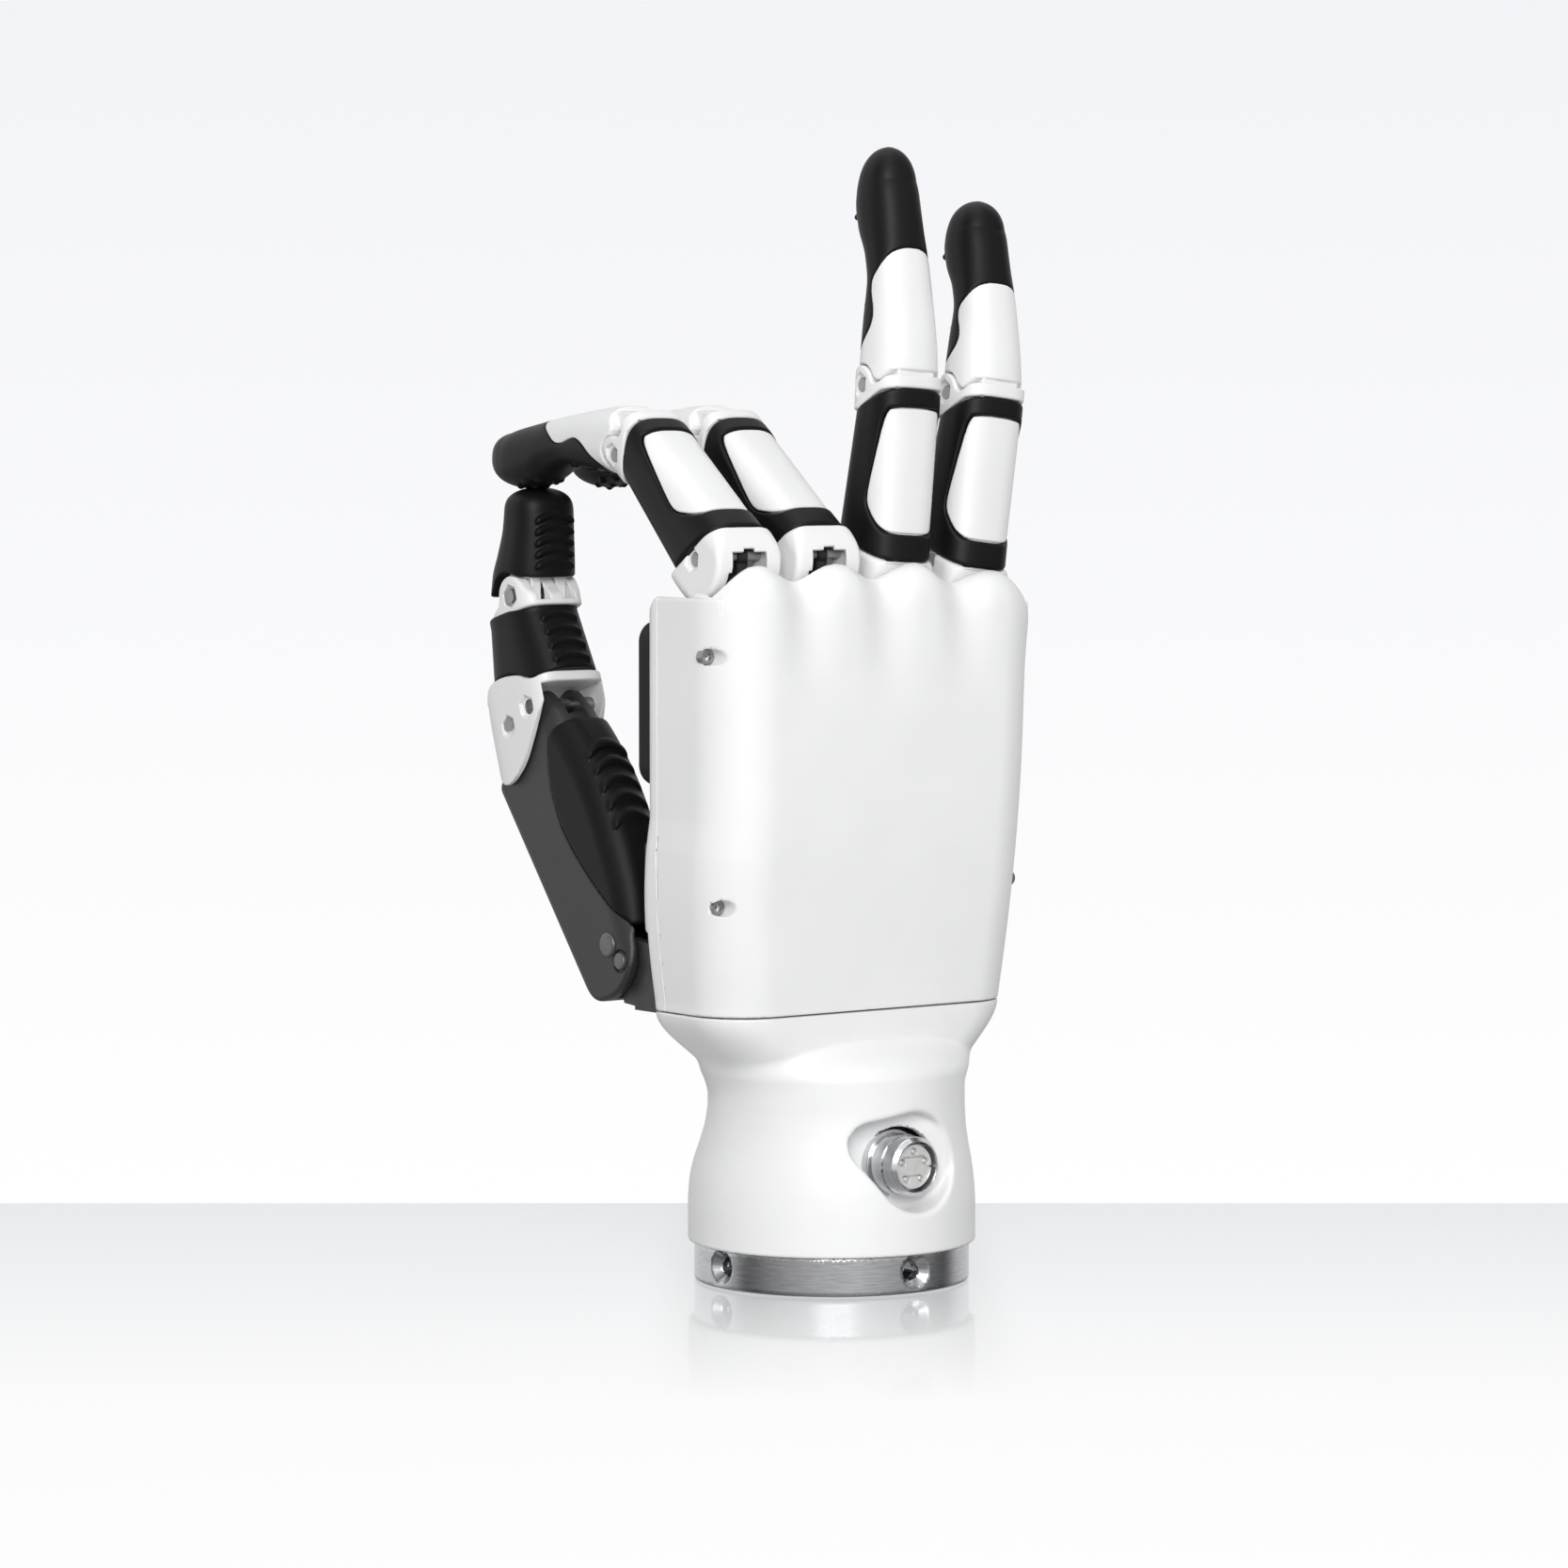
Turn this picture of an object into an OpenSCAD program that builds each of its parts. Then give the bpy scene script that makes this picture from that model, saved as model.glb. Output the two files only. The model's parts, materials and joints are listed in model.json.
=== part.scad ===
// Five-fingered robot hand, right hand, with a round wrist flange.
// +Z runs from the flange to the fingertips, -Y is the back of the hand,
// +Y is the palm side and -X is the thumb side. Millimetres.

/* [Wrist] */
// Outer radius of the flange ring
flange_r = 26; // [24:0.5:30]
// Height of the flange ring that shows below the cover
flange_h = 7.3; // [6:0.1:10]
// Radius of the socket in the flange
flange_bore_r = 20; // [16:0.5:21]
// Depth of the socket in the flange
flange_bore_len = 11; // [9:0.5:12]
// Clearance radius of the radial clamping screws
clamp_screw_r = 1.6; // [1:0.1:2]
// Height of the radial clamping screws above the flange face
clamp_screw_z = 4.4; // [3.5:0.1:5]
// Radius of the wrist cover at its waist
waist_r = 24.4; // [23:0.1:25]
// Height of the wrist cover's waist
waist_z = 35; // [32:0.5:37]
// Radius of the wrist cover at its lower edge
cuff_r = 27.2; // [26.6:0.1:31]
// Wall of the moulded covers
wall = 2; // [1.4:0.1:2.4]

/* [Inlet] */
// Radius of the inlet socket's barrel
inlet_r = 6.4; // [5:0.1:7]
// Height of the inlet's axis above the flange face
inlet_z = 24; // [22:0.5:25]
// Distance of the inlet's front face from the hand's axis
inlet_reach = 26; // [25:0.5:28]
// Number of contacts in the inlet
inlet_pins = 8; // [4:1:10]

/* [Palm] */
// Height of the seam between wrist and palm
seam_z = 50; // [48:0.5:52]
// Half width of the palm at the seam
palm_half_w = 34.5; // [33:0.1:36]
// Half width of the palm at the little finger's knuckle
palm_top_w = 38.6; // [38:0.1:41]
// Distance from the hand's axis to the back of the palm
palm_back = 17.2; // [17:0.1:19]
// Distance from the hand's axis to the palm face
palm_front = 11.5; // [11:0.1:13]
// Corner radius of the palm's back edges
palm_back_r = 11; // [8:0.5:12]
// Corner radius of the palm's front edges
palm_front_r = 5; // [4:0.5:7]
// Thickness of the palm pad
pad_t = 4; // [2:0.5:5]

/* [Fingers] */
// Distance between neighbouring knuckles
knuckle_pitch = 18.4; // [18.2:0.1:20]
// Position of the index finger's knuckle along X
index_x = -27; // [-28:0.1:-26.5]
// Height of the middle finger's knuckle
knuckle_z = 136.4; // [135.5:0.1:140]
// Width of a finger
finger_w = 14.9; // [14:0.1:15.2]
// Distance from a knuckle to the finger's middle joint
link_len = 32; // [30:0.5:36]
// Radius of the finger pins
pin_r = 1.25; // [1:0.05:1.4]
// Gap in the finger's fork
fork_gap = 9.2; // [8.8:0.1:9.6]
// Bend of the index and middle fingers at the knuckle
bent_angle = 53.5; // [40:0.5:58]
// Bend of the middle joint for each degree at the knuckle
curl_ratio = 0.61; // [0.55:0.01:0.65]
// Length of the index fingertip from the middle joint
index_tip_len = 46; // [44:0.5:47]
// Length of the middle fingertip
middle_tip_len = 48; // [45:0.5:49]
// Length of the ring fingertip
ring_tip_len = 45.2; // [42:0.1:48]
// Length of the little fingertip
little_tip_len = 37.4; // [35:0.1:44]

/* [Finger drive] */
// Distance of the push rod's lever pin from the knuckle pin
lever_len = 4.6; // [4.5:0.05:4.7]
// Radius of the push rod's tube
rod_r = 2.8; // [2.5:0.1:3]
// Radius of the lead screw
screw_r = 1.4; // [1:0.1:1.6]
// Radius of the drive motors
motor_r = 5; // [4.5:0.1:5.3]
// Length of the drive motors
motor_len = 20; // [16:0.5:22]
// Length of the gearheads
gearhead_len = 12; // [10:0.5:14]

/* [Thumb] */
// Position of the thumb along X
thumb_x = -25; // [-26:0.1:-24.8]
// Distance of the thumb's turning axis from the hand's axis
thumb_yaw_y = 14.2; // [13.9:0.1:14.4]
// Height of the thumb's root joint
thumb_root_z = 59.8; // [59:0.1:61]
// Distance of the thumb's root joint from the hand's axis
thumb_root_y = 24.7; // [24:0.1:26]
// Length of the thumb's first link
thumb_len_1 = 55.2; // [54:0.1:56]
// Length of the thumb's second link
thumb_len_2 = 22.2; // [21.5:0.1:23]
// Length of the thumb's end link
thumb_tip_len = 19.6; // [18:0.1:20]
// Lean of the first link from upright
thumb_lean_1 = 31.6; // [30:0.1:33]
// Lean of the second link from upright
thumb_lean_2 = 18.4; // [17:0.1:20]
// Width of the thumb's housing
thumb_w = 13.2; // [12.6:0.1:13.6]
// Thickness of the thumb's side plates
thumb_plate = 1.3; // [1:0.1:1.5]
// Radius of the thumb pins
thumb_pin_r = 1.5; // [1.2:0.1:1.7]

/* [Clearances] */
// Gap between neighbouring moving pieces
gap = 0.3; // [0.2:0.05:0.35]
// Radial clearance of pins and rods that turn or slide
run = 0.05; // [0.02:0.01:0.09]
// Gap between neighbouring fixed pieces
fit = 0.05; // [0.02:0.01:0.1]

/* [Hidden] */
$fn = 48;
eps = 0.01;

white = "#f2f2f2";
black = "#1d1d1d";
metal = "#b9bbbe";
dark = "#3a3b3d";

// Each finger: place of its knuckle, its lean towards the little finger,
// its bend at rest and the length of its end link.
index_i = 0;
middle_i = 1;
ring_i = 2;
little_i = 3;
knuckle_y = -2.5;
knuckle_x = [for (i = [0:3]) index_x + i * knuckle_pitch];
knuckle_drop = [0.1, 0, 0.2, 1.8];
lean = [0, 0, 3.5, 6.6];
bend = [bent_angle, bent_angle, 0, 0];
tip_len = [index_tip_len, middle_tip_len, ring_tip_len, little_tip_len];

// Section of a finger about its pins: reach towards the palm and the back
knuckle_disc_r = 8.4;
front_low = 7.2;
front_high = 3.2;
back_low = 8.8;
back_high = 9.2;
core_back = 8.1;
core_half = finger_w / 2 - 1.5;
core_front_low = 3.8;
core_front_high = 1.9;
sleeve_low_front = 4.6;
sleeve_low_back = -1.2;
sleeve_high_front = link_len - 5;
sleeve_high_back = link_len - 0.2;
band_top = link_len + 2;
ear_r = 3.6;
drum_r = 8;
tongue_half = fork_gap / 2 - gap;
hex_r = 2.3;
hex_depth = 0.9;
pin_half = finger_w / 2 - hex_depth;

// Coupling link: pivots at the palm and at the end link, and its turn for
// each degree of the knuckle, from the geometry of the four-bar chain.
link_a = [2.92, -1.75];
link_b = [-4.91, -1.71];
link_pin_r = 0.8;
link_start = -15.097;
link_gain = 1.0362;
link_bar_len = link_len + 0.917;
link_half = 1;
link_slack = 0.79;

// Push rod: lever pin at 45 degrees below the knuckle pin on the back side
lever_pin_r = 0.9;
lever = lever_len * sin(45);
rod_gain = lever_len * 0.925;
rod_offset = -lever_len * 0.7265;
rod_y = -(lever + lever_len) / 2;
rod_top = -9;
rod_bottom = -36;
screw_top = -20;
gearhead_z = -44;

// Palm and frame
lug_inner = 3;
lug_reach = 4.9;
lug_outer = fork_gap / 2 - gap;
deck_top = knuckle_z - knuckle_disc_r - 1.4;
deck_t = 9;
shelf_z = 80;
shelf_t = 3;
base_t = 3;
front_wall_top = knuckle_z - 9.2;
side_wall_top = knuckle_z - 7;
crown_top = knuckle_z - 1.4;
crown_dip = 3;

function mix(a, b, t) = a + (b - a) * t;
function clamp01(t) = min(1, max(0, t));
function ease(t) = let (s = clamp01(t)) s * s * (3 - 2 * s);
function sgn_pow(v, p) = (v < 0 ? -1 : 1) * pow(abs(v), p);

// One ring of a rounded section: half width, reach to the back and to the front
function oval(half_w, back, front, n, count) = [
    for (k = [0:count - 1]) let (a = 360 * k / count)
        [half_w * sgn_pow(cos(a), 2 / n),
         (front - back) / 2 + (front + back) / 2 * sgn_pow(sin(a), 2 / n)]
];

// Closed solid through rings that hold the same number of points
function middle_of(ring) = let (n = len(ring))
    [for (c = [0:2]) [for (p = ring) p[c]] * [for (p = ring) 1] / n];
module loft(rings) {
    n = len(rings[0]);
    m = len(rings);
    polyhedron(
        points = concat([for (r = rings) for (p = r) p], [middle_of(rings[0]), middle_of(rings[m - 1])]),
        faces = concat(
            [for (k = [0:n - 1]) [m * n, k, (k + 1) % n]],
            [for (j = [0:m - 2]) for (k = [0:n - 1]) let (q = (k + 1) % n)
                each [[j * n + k, (j + 1) * n + k, (j + 1) * n + q],
                      [j * n + k, (j + 1) * n + q, j * n + q]]],
            [for (k = [0:n - 1]) [m * n + 1, (m - 1) * n + (k + 1) % n, (m - 1) * n + k]]
        ),
        convexity = 6
    );
}

// Sheet with a thickness: grids of outer and inner points, row by row
module thick_sheet(outer, inner) {
    m = len(outer);
    n = len(outer[0]);
    o = m * n;
    function at(j, k) = j * n + k;
    polyhedron(
        points = concat([for (r = outer) for (p = r) p], [for (r = inner) for (p = r) p]),
        faces = concat(
            [for (j = [0:m - 2]) for (k = [0:n - 2])
                each [[at(j, k), at(j + 1, k), at(j + 1, k + 1)],
                      [at(j, k), at(j + 1, k + 1), at(j, k + 1)],
                      [o + at(j, k), o + at(j + 1, k + 1), o + at(j + 1, k)],
                      [o + at(j, k), o + at(j, k + 1), o + at(j + 1, k + 1)]]],
            [for (j = [0:m - 2])
                each [[at(j, 0), o + at(j, 0), o + at(j + 1, 0)],
                      [at(j, 0), o + at(j + 1, 0), at(j + 1, 0)],
                      [at(j, n - 1), o + at(j + 1, n - 1), o + at(j, n - 1)],
                      [at(j, n - 1), at(j + 1, n - 1), o + at(j + 1, n - 1)]]],
            [for (k = [0:n - 2])
                each [[at(0, k), at(0, k + 1), o + at(0, k + 1)],
                      [at(0, k), o + at(0, k + 1), o + at(0, k)],
                      [at(m - 1, k), o + at(m - 1, k + 1), at(m - 1, k + 1)],
                      [at(m - 1, k), o + at(m - 1, k), o + at(m - 1, k + 1)]]]
        ),
        convexity = 8
    );
}

// Outline in the Y-Z plane, drawn out along X about the middle
module side_plate(points, w) rotate([90, 0, 90])
    linear_extrude(w, center = true) polygon(points);

// Outline in the X-Z plane, drawn out along Y about the middle
module front_plate(points, w) rotate([90, 0, 0])
    linear_extrude(w, center = true) polygon(points);

// Round bar along X through a point of the Y-Z plane
module cross_pin(y, z, r, half) translate([0, y, z]) rotate([0, 90, 0])
    cylinder(r = r, h = 2 * half, center = true);

// Six-sided socket cut into both faces of a cheek
module hex_sockets(y, z, half) for (s = [-1, 1])
    translate([s * half, y, z]) rotate([0, 90, 0])
        cylinder(r = hex_r, h = 2 * hex_depth, center = true, $fn = 6);

function arc(cy, cz, r, from, to, n) =
    [for (k = [0:n]) let (a = mix(from, to, k / n)) [cy + r * cos(a), cz + r * sin(a)]];

// ---- Places ----

module at_palm(i) translate([knuckle_x[i], knuckle_y, knuckle_z - knuckle_drop[i]])
    rotate([0, lean[i], 0]) children();
module at_finger(i) at_palm(i) rotate([-bend[i], 0, 0]) children();
module at_end(i) at_finger(i) translate([0, 0, link_len])
    rotate([-bend[i] * curl_ratio, 0, 0]) children();

module at_root() translate([thumb_x, thumb_root_y, thumb_root_z])
    rotate([-thumb_lean_1, 0, 0]) children();
module at_middle() at_root() translate([0, 0, thumb_len_1])
    rotate([thumb_lean_1 - thumb_lean_2, 0, 0]) children();
module at_tip() at_middle() translate([0, 0, thumb_len_2])
    rotate([thumb_lean_2, 0, 0]) children();

// ---- Wrist ----

module wrist_flange() color(metal) {
    lip_h = 1.9;
    sink_r = 2.9;
    difference() {
        union() {
            cylinder(r = flange_r, h = flange_h, $fn = 96);
            translate([0, 0, flange_h - eps])
                cylinder(r = flange_r - wall - fit, h = flange_bore_len - flange_h + lip_h, $fn = 96);
        }
        translate([0, 0, -eps]) cylinder(r = flange_bore_r, h = flange_bore_len + eps, $fn = 96);
        cylinder(r = flange_bore_r - 5, h = 3 * flange_bore_len);
        for (a = [0:90:270]) rotate([0, 0, a]) translate([0, 0, clamp_screw_z]) rotate([0, 90, 0]) {
            cylinder(r = clamp_screw_r, h = flange_r + 1);
            translate([0, 0, flange_r - (sink_r - clamp_screw_r)])
                cylinder(r1 = clamp_screw_r, r2 = sink_r + eps, h = sink_r - clamp_screw_r + eps);
        }
    }
}

// Section of the hand at a height, from the seam of the palm down to the cuff
function palm_x0(z) = -palm_half_w - 1.8 * clamp01((z - seam_z) / 30)
    - 0.8 * sin(180 * clamp01((z - seam_z - 4) / 34));
function palm_x1(z) = mix(palm_half_w, palm_top_w, sin(90 * clamp01((z - seam_z) / 76)));
function palm_y0(z) = -palm_back + 3 * pow(1 - clamp01((z - seam_z) / 50), 2);
function palm_y1(z) = palm_front + 1.6 * sin(180 * clamp01((z - seam_z + 6) / 44));

// Rounded rectangle as rays: angle and inset give a point of the palm's outline
function corner(cx, cy, r, from, n) =
    [for (k = [0:n]) [cx + r * cos(from + 90 * k / n), cy + r * sin(from + 90 * k / n)]];
function palm_ring(z, inset, n) = let (
        x0 = palm_x0(z) + inset, x1 = palm_x1(z) - inset,
        y0 = palm_y0(z) + inset, y1 = palm_y1(z) - inset,
        rb = palm_back_r - inset, rf = palm_front_r - inset)
    concat(corner(x1 - rf, y1 - rf, rf, 0, n), corner(x0 + rf, y1 - rf, rf, 90, n),
           corner(x0 + rb, y0 + rb, rb, 180, n), corner(x1 - rb, y0 + rb, rb, 270, n));

// Wrist outline: the palm's seam section flows into a circle at the waist
function wrist_r(z) = z > waist_z ? waist_r
    : mix(waist_r, cuff_r, ease((waist_z - z) / (waist_z - flange_h - 6)));
function spread(p, q, n) = [for (k = [1:n - 1]) mix(p, q, k / n)];
function seam_ring(inset) = let (
        c = palm_ring(seam_z, inset, 6))
    concat([for (k = [0:6]) c[k]], spread(c[6], c[7], 8), [for (k = [7:13]) c[k]],
           spread(c[13], c[14], 4), [for (k = [14:20]) c[k]], spread(c[20], c[21], 8),
           [for (k = [21:27]) c[k]], spread(c[27], c[0], 4));
function seam_angle(k) = k <= 6 ? mix(14, 48, k / 6) : k <= 14 ? mix(48, 132, (k - 6) / 8)
    : k <= 20 ? mix(132, 166, (k - 14) / 6) : k <= 24 ? mix(166, 194, (k - 20) / 4)
    : k <= 30 ? mix(194, 228, (k - 24) / 6) : k <= 38 ? mix(228, 312, (k - 30) / 8)
    : k <= 44 ? mix(312, 346, (k - 38) / 6) : mix(346, 374, (k - 44) / 4);
function wrist_ring(z, inset) = let (
        top = seam_ring(inset), t = ease((seam_z - z) / (seam_z - waist_z)), r = wrist_r(z) - inset)
    [for (k = [0:len(top) - 1]) mix(top[k], [r * cos(seam_angle(k)), r * sin(seam_angle(k))], t)];
function lift(ring, z) = [for (p = ring) [p[0], p[1], z]];

module wrist_solid(inset, z0, z1) {
    steps = 9;
    loft([for (k = [0:steps]) let (z = mix(z0, z1, k / steps)) lift(wrist_ring(z, inset), z)]);
}
module inlet_axis() translate([0, 0, inlet_z]) rotate([90, 0, 0]) children();
pocket_r = inlet_r + 3;
pocket_y = 18;
module wrist_cover() color(white) {
    cup_wall = 1.6;
    ramp_x = -14.8;
    difference() {
        union() {
            difference() {
                wrist_solid(0, flange_h + fit, seam_z - fit);
                wrist_solid(wall, flange_h - 1, seam_z + 1);
            }
            intersection() {
                wrist_solid(eps, flange_h + 1, seam_z - 1);
                inlet_axis() translate([0, 0, pocket_y - cup_wall])
                    cylinder(r = pocket_r + cup_wall, h = 12);
            }
        }
        inlet_axis() translate([0, 0, pocket_y]) {
            cylinder(r = pocket_r, h = 12);
            hull() {
                translate([0, 0, 2]) cylinder(r = pocket_r - 1, h = 12, $fn = 32);
                translate([ramp_x, 0, 7.2]) cylinder(r = 2, h = 6, $fn = 32);
            }
        }
        inlet_axis() cylinder(r = inlet_r + fit, h = pocket_y + eps);
    }
}

module inlet_barrel() color(metal) inlet_axis() {
    ring_len = 3;
    back = 12;
    difference() {
        union() {
            translate([0, 0, back]) cylinder(r = inlet_r, h = inlet_reach - back - ring_len);
            translate([0, 0, pocket_y + fit]) cylinder(r = inlet_r + 1.3, h = 2.4);
            translate([0, 0, inlet_reach - ring_len]) cylinder(r1 = inlet_r, r2 = inlet_r - 1.1, h = ring_len);
        }
        translate([0, 0, back + 3]) cylinder(r = inlet_r - 1.75, h = inlet_reach);
    }
}

module inlet_contacts() color(dark) inlet_axis() {
    floor_z = inlet_reach - 6;
    translate([0, 0, 15 + fit]) cylinder(r = inlet_r - 1.75 - fit, h = floor_z - 15);
    for (k = [0:inlet_pins - 1]) rotate([0, 0, 360 * k / inlet_pins])
        translate([inlet_r - 3.4, 0, floor_z - eps]) cylinder(r = 0.5, h = 4.6, $fn = 16);
}

// ---- Palm ----

module hand_frame() color(metal) {
    foot_r = flange_r - wall - 3;
    back_plate_y = 6;
    plate_t = 2;
    lug_r = 3.4;
    lug_foot = 14;
    side_t = 3;
    half_w = palm_half_w - wall - 1.5;
    foot_h = waist_z - flange_bore_len - 1.95;
    difference() {
        union() {
            // base plate over a hollow column that stands on the flange
            translate([0, 0, flange_bore_len + 1.95]) difference() {
                union() {
                    cylinder(r = foot_r, h = foot_h);
                    intersection() {
                        cylinder(r = foot_r, h = seam_z - flange_bore_len - 1);
                        translate([-foot_r, -10.5, 0]) cube([2 * foot_r, 19, seam_z]);
                    }
                }
                translate([0, 0, -1]) cylinder(r = foot_r - 2.5, h = seam_z);
            }
            translate([-half_w + 2, -10.5, seam_z + 0.5]) cube([2 * half_w - 4, 19, base_t]);
            // back plate, shelf for the gearheads and the knuckle deck
            translate([-half_w + 3, back_plate_y, seam_z + 1])
                cube([2 * half_w - 4, plate_t, deck_top - seam_z - 2]);
            difference() {
                translate([-half_w + 0.5, -10, shelf_z]) cube([2 * half_w - 1, 17.4, shelf_t]);
                translate([board_x - 0.5, board_y - 0.5, shelf_z - 1]) cube([board_w + 1, 20, shelf_t + 2]);
            }
            difference() {
                translate([-half_w - 0.5, -12.6, deck_top - deck_t])
                    cube([half_w + palm_top_w - 4.1, 20.6, deck_t]);
                translate([half_w - 2, -20, deck_top - 2]) rotate([0, 12, 0]) cube([20, 40, 10]);
            }
            for (i = [0:3]) at_palm(i) for (s = [-1, 1])
                translate([s * (lug_inner + lug_outer) / 2, 0, 0]) {
                    cross_pin(0, 0, lug_r, (lug_outer - lug_inner) / 2);
                    translate([0, 0.35, -lug_foot / 2])
                        cube([lug_outer - lug_inner, 4.5, lug_foot], center = true);
                    cross_pin(link_a[0], link_a[1], link_pin_r + 0.6, (lug_outer - lug_inner) / 2);
                }
        }
        // inlet clearance in the column
        inlet_axis() cylinder(r = inlet_r + 1, h = 60);
        inlet_axis() translate([0, 0, pocket_y - 2.2]) cylinder(r = pocket_r + 2.2, h = 20);
        for (i = [0:3]) at_palm(i) {
            cross_pin(0, 0, pin_r + run, lug_outer + 1);
            cross_pin(link_a[0], link_a[1], link_pin_r + fit, lug_outer + 1);
            translate([0, rod_y, rod_bottom - 8]) cylinder(r = rod_r + run, h = 40);
            translate([0, rod_y, gearhead_z - gearhead_len - 10]) cylinder(r = motor_r + 0.2 + fit, h = 20);
        }
        // wells that the wires and the bent fingers' links pass
        for (i = [0:3]) at_palm(i) translate([0, 2.2, -knuckle_disc_r - 2])
            cube([2 * lug_inner, 7, 6], center = true);
    }
}

module finger_motors() color(dark) for (i = [0:3]) at_palm(i)
    translate([0, rod_y, gearhead_z - gearhead_len - motor_len]) {
        cylinder(r = motor_r, h = motor_len);
        translate([0, 0, motor_len - eps]) cylinder(r = motor_r + 0.2, h = gearhead_len);
        translate([0, 0, motor_len + gearhead_len - eps]) cylinder(r = 3, h = 2);
        translate([0, 0, -1.5]) cylinder(r = 1.8, h = 1.6);
    }

module lead_screws() color(metal) for (i = [0:3]) at_palm(i)
    translate([0, rod_y, gearhead_z + 2 + fit])
        cylinder(r = screw_r, h = screw_top - gearhead_z - 2 - fit);

module link_pins() color(metal) for (i = [0:3]) at_palm(i)
    cross_pin(link_a[0], link_a[1], link_pin_r, lug_outer);

board_x = -22;
board_y = 1;
board_w = 46;
module control_board() color("#1f5a3a") {
    board_t = 1.6;
    board_h = 50;
    z0 = 59;
    translate([board_x, board_y, z0]) cube([board_w, board_t, board_h]);
    for (x = [4, board_w - 4], z = [4, board_h - 4])
        translate([board_x + x, board_y + board_t - eps, z0 + z]) rotate([-90, 0, 0])
            cylinder(r = 1.6, h = 6 - board_y - board_t - fit);
    translate([board_x + 12, board_y + board_t - eps, z0 + 30]) cube([10, 1.4, 10]);
    translate([board_x + 28, board_y + board_t - eps, z0 + 8]) cube([7, 1.2, 12]);
}

// Height of the palm's upper edge round the back: crowns over the knuckles
function crown_wave(x) = let (t = (x - knuckle_x[0]) / knuckle_pitch)
    t < -0.5 || t > 3.6 ? 0 : pow(abs(cos(180 * t)), 0.8);
function shell_edge(x, y) = let (
        side = ease((y + palm_back - 6) / 7),
        fall = 1.8 * clamp01((x - knuckle_x[2]) / knuckle_pitch))
    mix(crown_top - fall - crown_dip * (1 - crown_wave(x)), side_wall_top - fall, side);

// Part of the palm's outline between two places, from the palm seam round the back
function back_line(z, inset, n) = let (
        x0 = palm_x0(z) + inset, x1 = palm_x1(z) - inset,
        y0 = palm_y0(z) + inset, rb = palm_back_r - inset, ys = shell_seam_y)
    concat([[x0, ys]], [[x0, (ys + y0 + rb) / 2]], corner(x0 + rb, y0 + rb, rb, 180, n),
           [for (k = [1:26]) [mix(x0 + rb, x1 - rb, k / 27), y0]],
           corner(x1 - rb, y0 + rb, rb, 270, n), [[x1, (ys + y0 + rb) / 2]], [[x1, ys]]);
shell_seam_y = 5.6;
edge_round = 5;

// The back shell's surface: v runs from the seam to the crowned edge, which
// rolls in towards the knuckles over its last few millimetres
function back_point(p, z_raw, top, inset) = let (
        d = top - z_raw,
        roll = d < edge_round ? edge_round - sqrt(max(0, edge_round * edge_round - pow(edge_round - d, 2))) : 0,
        back = clamp01((-p[1] - 4) / 8),
        wave = crown_wave(p[0]) * clamp01((z_raw - 108) / 20) * back,
        pull = roll * back * 0.95 + (1 - crown_wave(p[0])) * back * 1.6 * clamp01((z_raw - 112) / 20))
    [p[0] - (abs(p[0]) > 26 ? (p[0] < 0 ? -1 : 1) * roll * 0.25 * back : 0), p[1] + pull, z_raw];
function back_grid(inset, n, rows) = let (
        base = back_line(seam_z, inset, n))
    [for (j = [0:rows]) [for (k = [0:len(base) - 1]) let (
            v = j / rows,
            s = v < 0.7 ? v * 1.1 : 0.77 + (v - 0.7) * 0.23 / 0.3,
            x_top = back_line(knuckle_z - 8, inset, n)[k],
            top = shell_edge(x_top[0], x_top[1]),
            z = mix(seam_z + fit, top, s), line = back_line(z, inset, n)[k])
        back_point(line, z, top, inset)]];

module back_shell() color(white) difference() {
    thick_sheet(back_grid(0, 5, 15), back_grid(wall, 5, 15));
    knuckle_clearance();
    side_screw_places() {
        cylinder(r = screw_hole_r, h = 12, center = true);
        translate([0, 0, screw_sink]) cylinder(r = screw_head_r + fit, h = 6);
    }
}
module knuckle_clearance() for (i = [0:3]) at_palm(i)
    cross_pin(0, 0, back_high + 0.35, knuckle_pitch / 2 + 0.6);

screw_hole_r = 1.05;
screw_head_r = 1.9;
screw_sink = -1.0;
// Places of the four cover screws: the outer surface, with Z pointing outwards
module side_screw_places() for (s = [-1, 1], z = [71, 118])
    translate([s < 0 ? palm_x0(z) : palm_x1(z), -2.2, z]) rotate([0, s * 90, 0]) children();

front_rows = 10;
function front_line(z, inset) = let (
        x0 = palm_x0(z) + inset, x1 = palm_x1(z) - inset,
        y1 = palm_y1(z) - inset, rf = palm_front_r - inset)
    concat([[x1, shell_seam_y + fit]], corner(x1 - rf, y1 - rf, rf, 0, 5),
           [[mix(x1, x0, 0.5), y1]], corner(x0 + rf, y1 - rf, rf, 90, 5), [[x0, shell_seam_y + fit]]);
function front_top(x) = front_wall_top - 2.2 * clamp01((x - knuckle_x[2]) / knuckle_pitch);
function front_grid(inset) = [for (j = [0:front_rows]) [for (k = [0:14]) let (
        p = front_line(mix(seam_z, front_wall_top, j / front_rows), inset)[k],
        z = mix(seam_z + fit, front_top(p[0]), j / front_rows))
    [p[0], p[1], z]]];
module palm_shell() color(white) difference() {
    thick_sheet(front_grid(0), front_grid(wall));
    // opening for the thumb mount
    translate([thumb_x - mount_w / 2 - fit, 0, mount_z - fit])
        cube([mount_w + 2 * fit, 30, mount_h + 7]);
    // corner left open so that the thumb can swing aside
    translate([-50, 9.6, 40]) cube([50 + thumb_x + hub_r + 0.6, 30, mount_z - 40 - fit]);
    for (x = pad_pins_x, z = pad_pins_z) translate([x, 0, z]) rotate([-90, 0, 0])
        cylinder(r = pad_pin_r + fit, h = 30, $fn = 24);
}
pad_x0 = -31.5;
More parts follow.
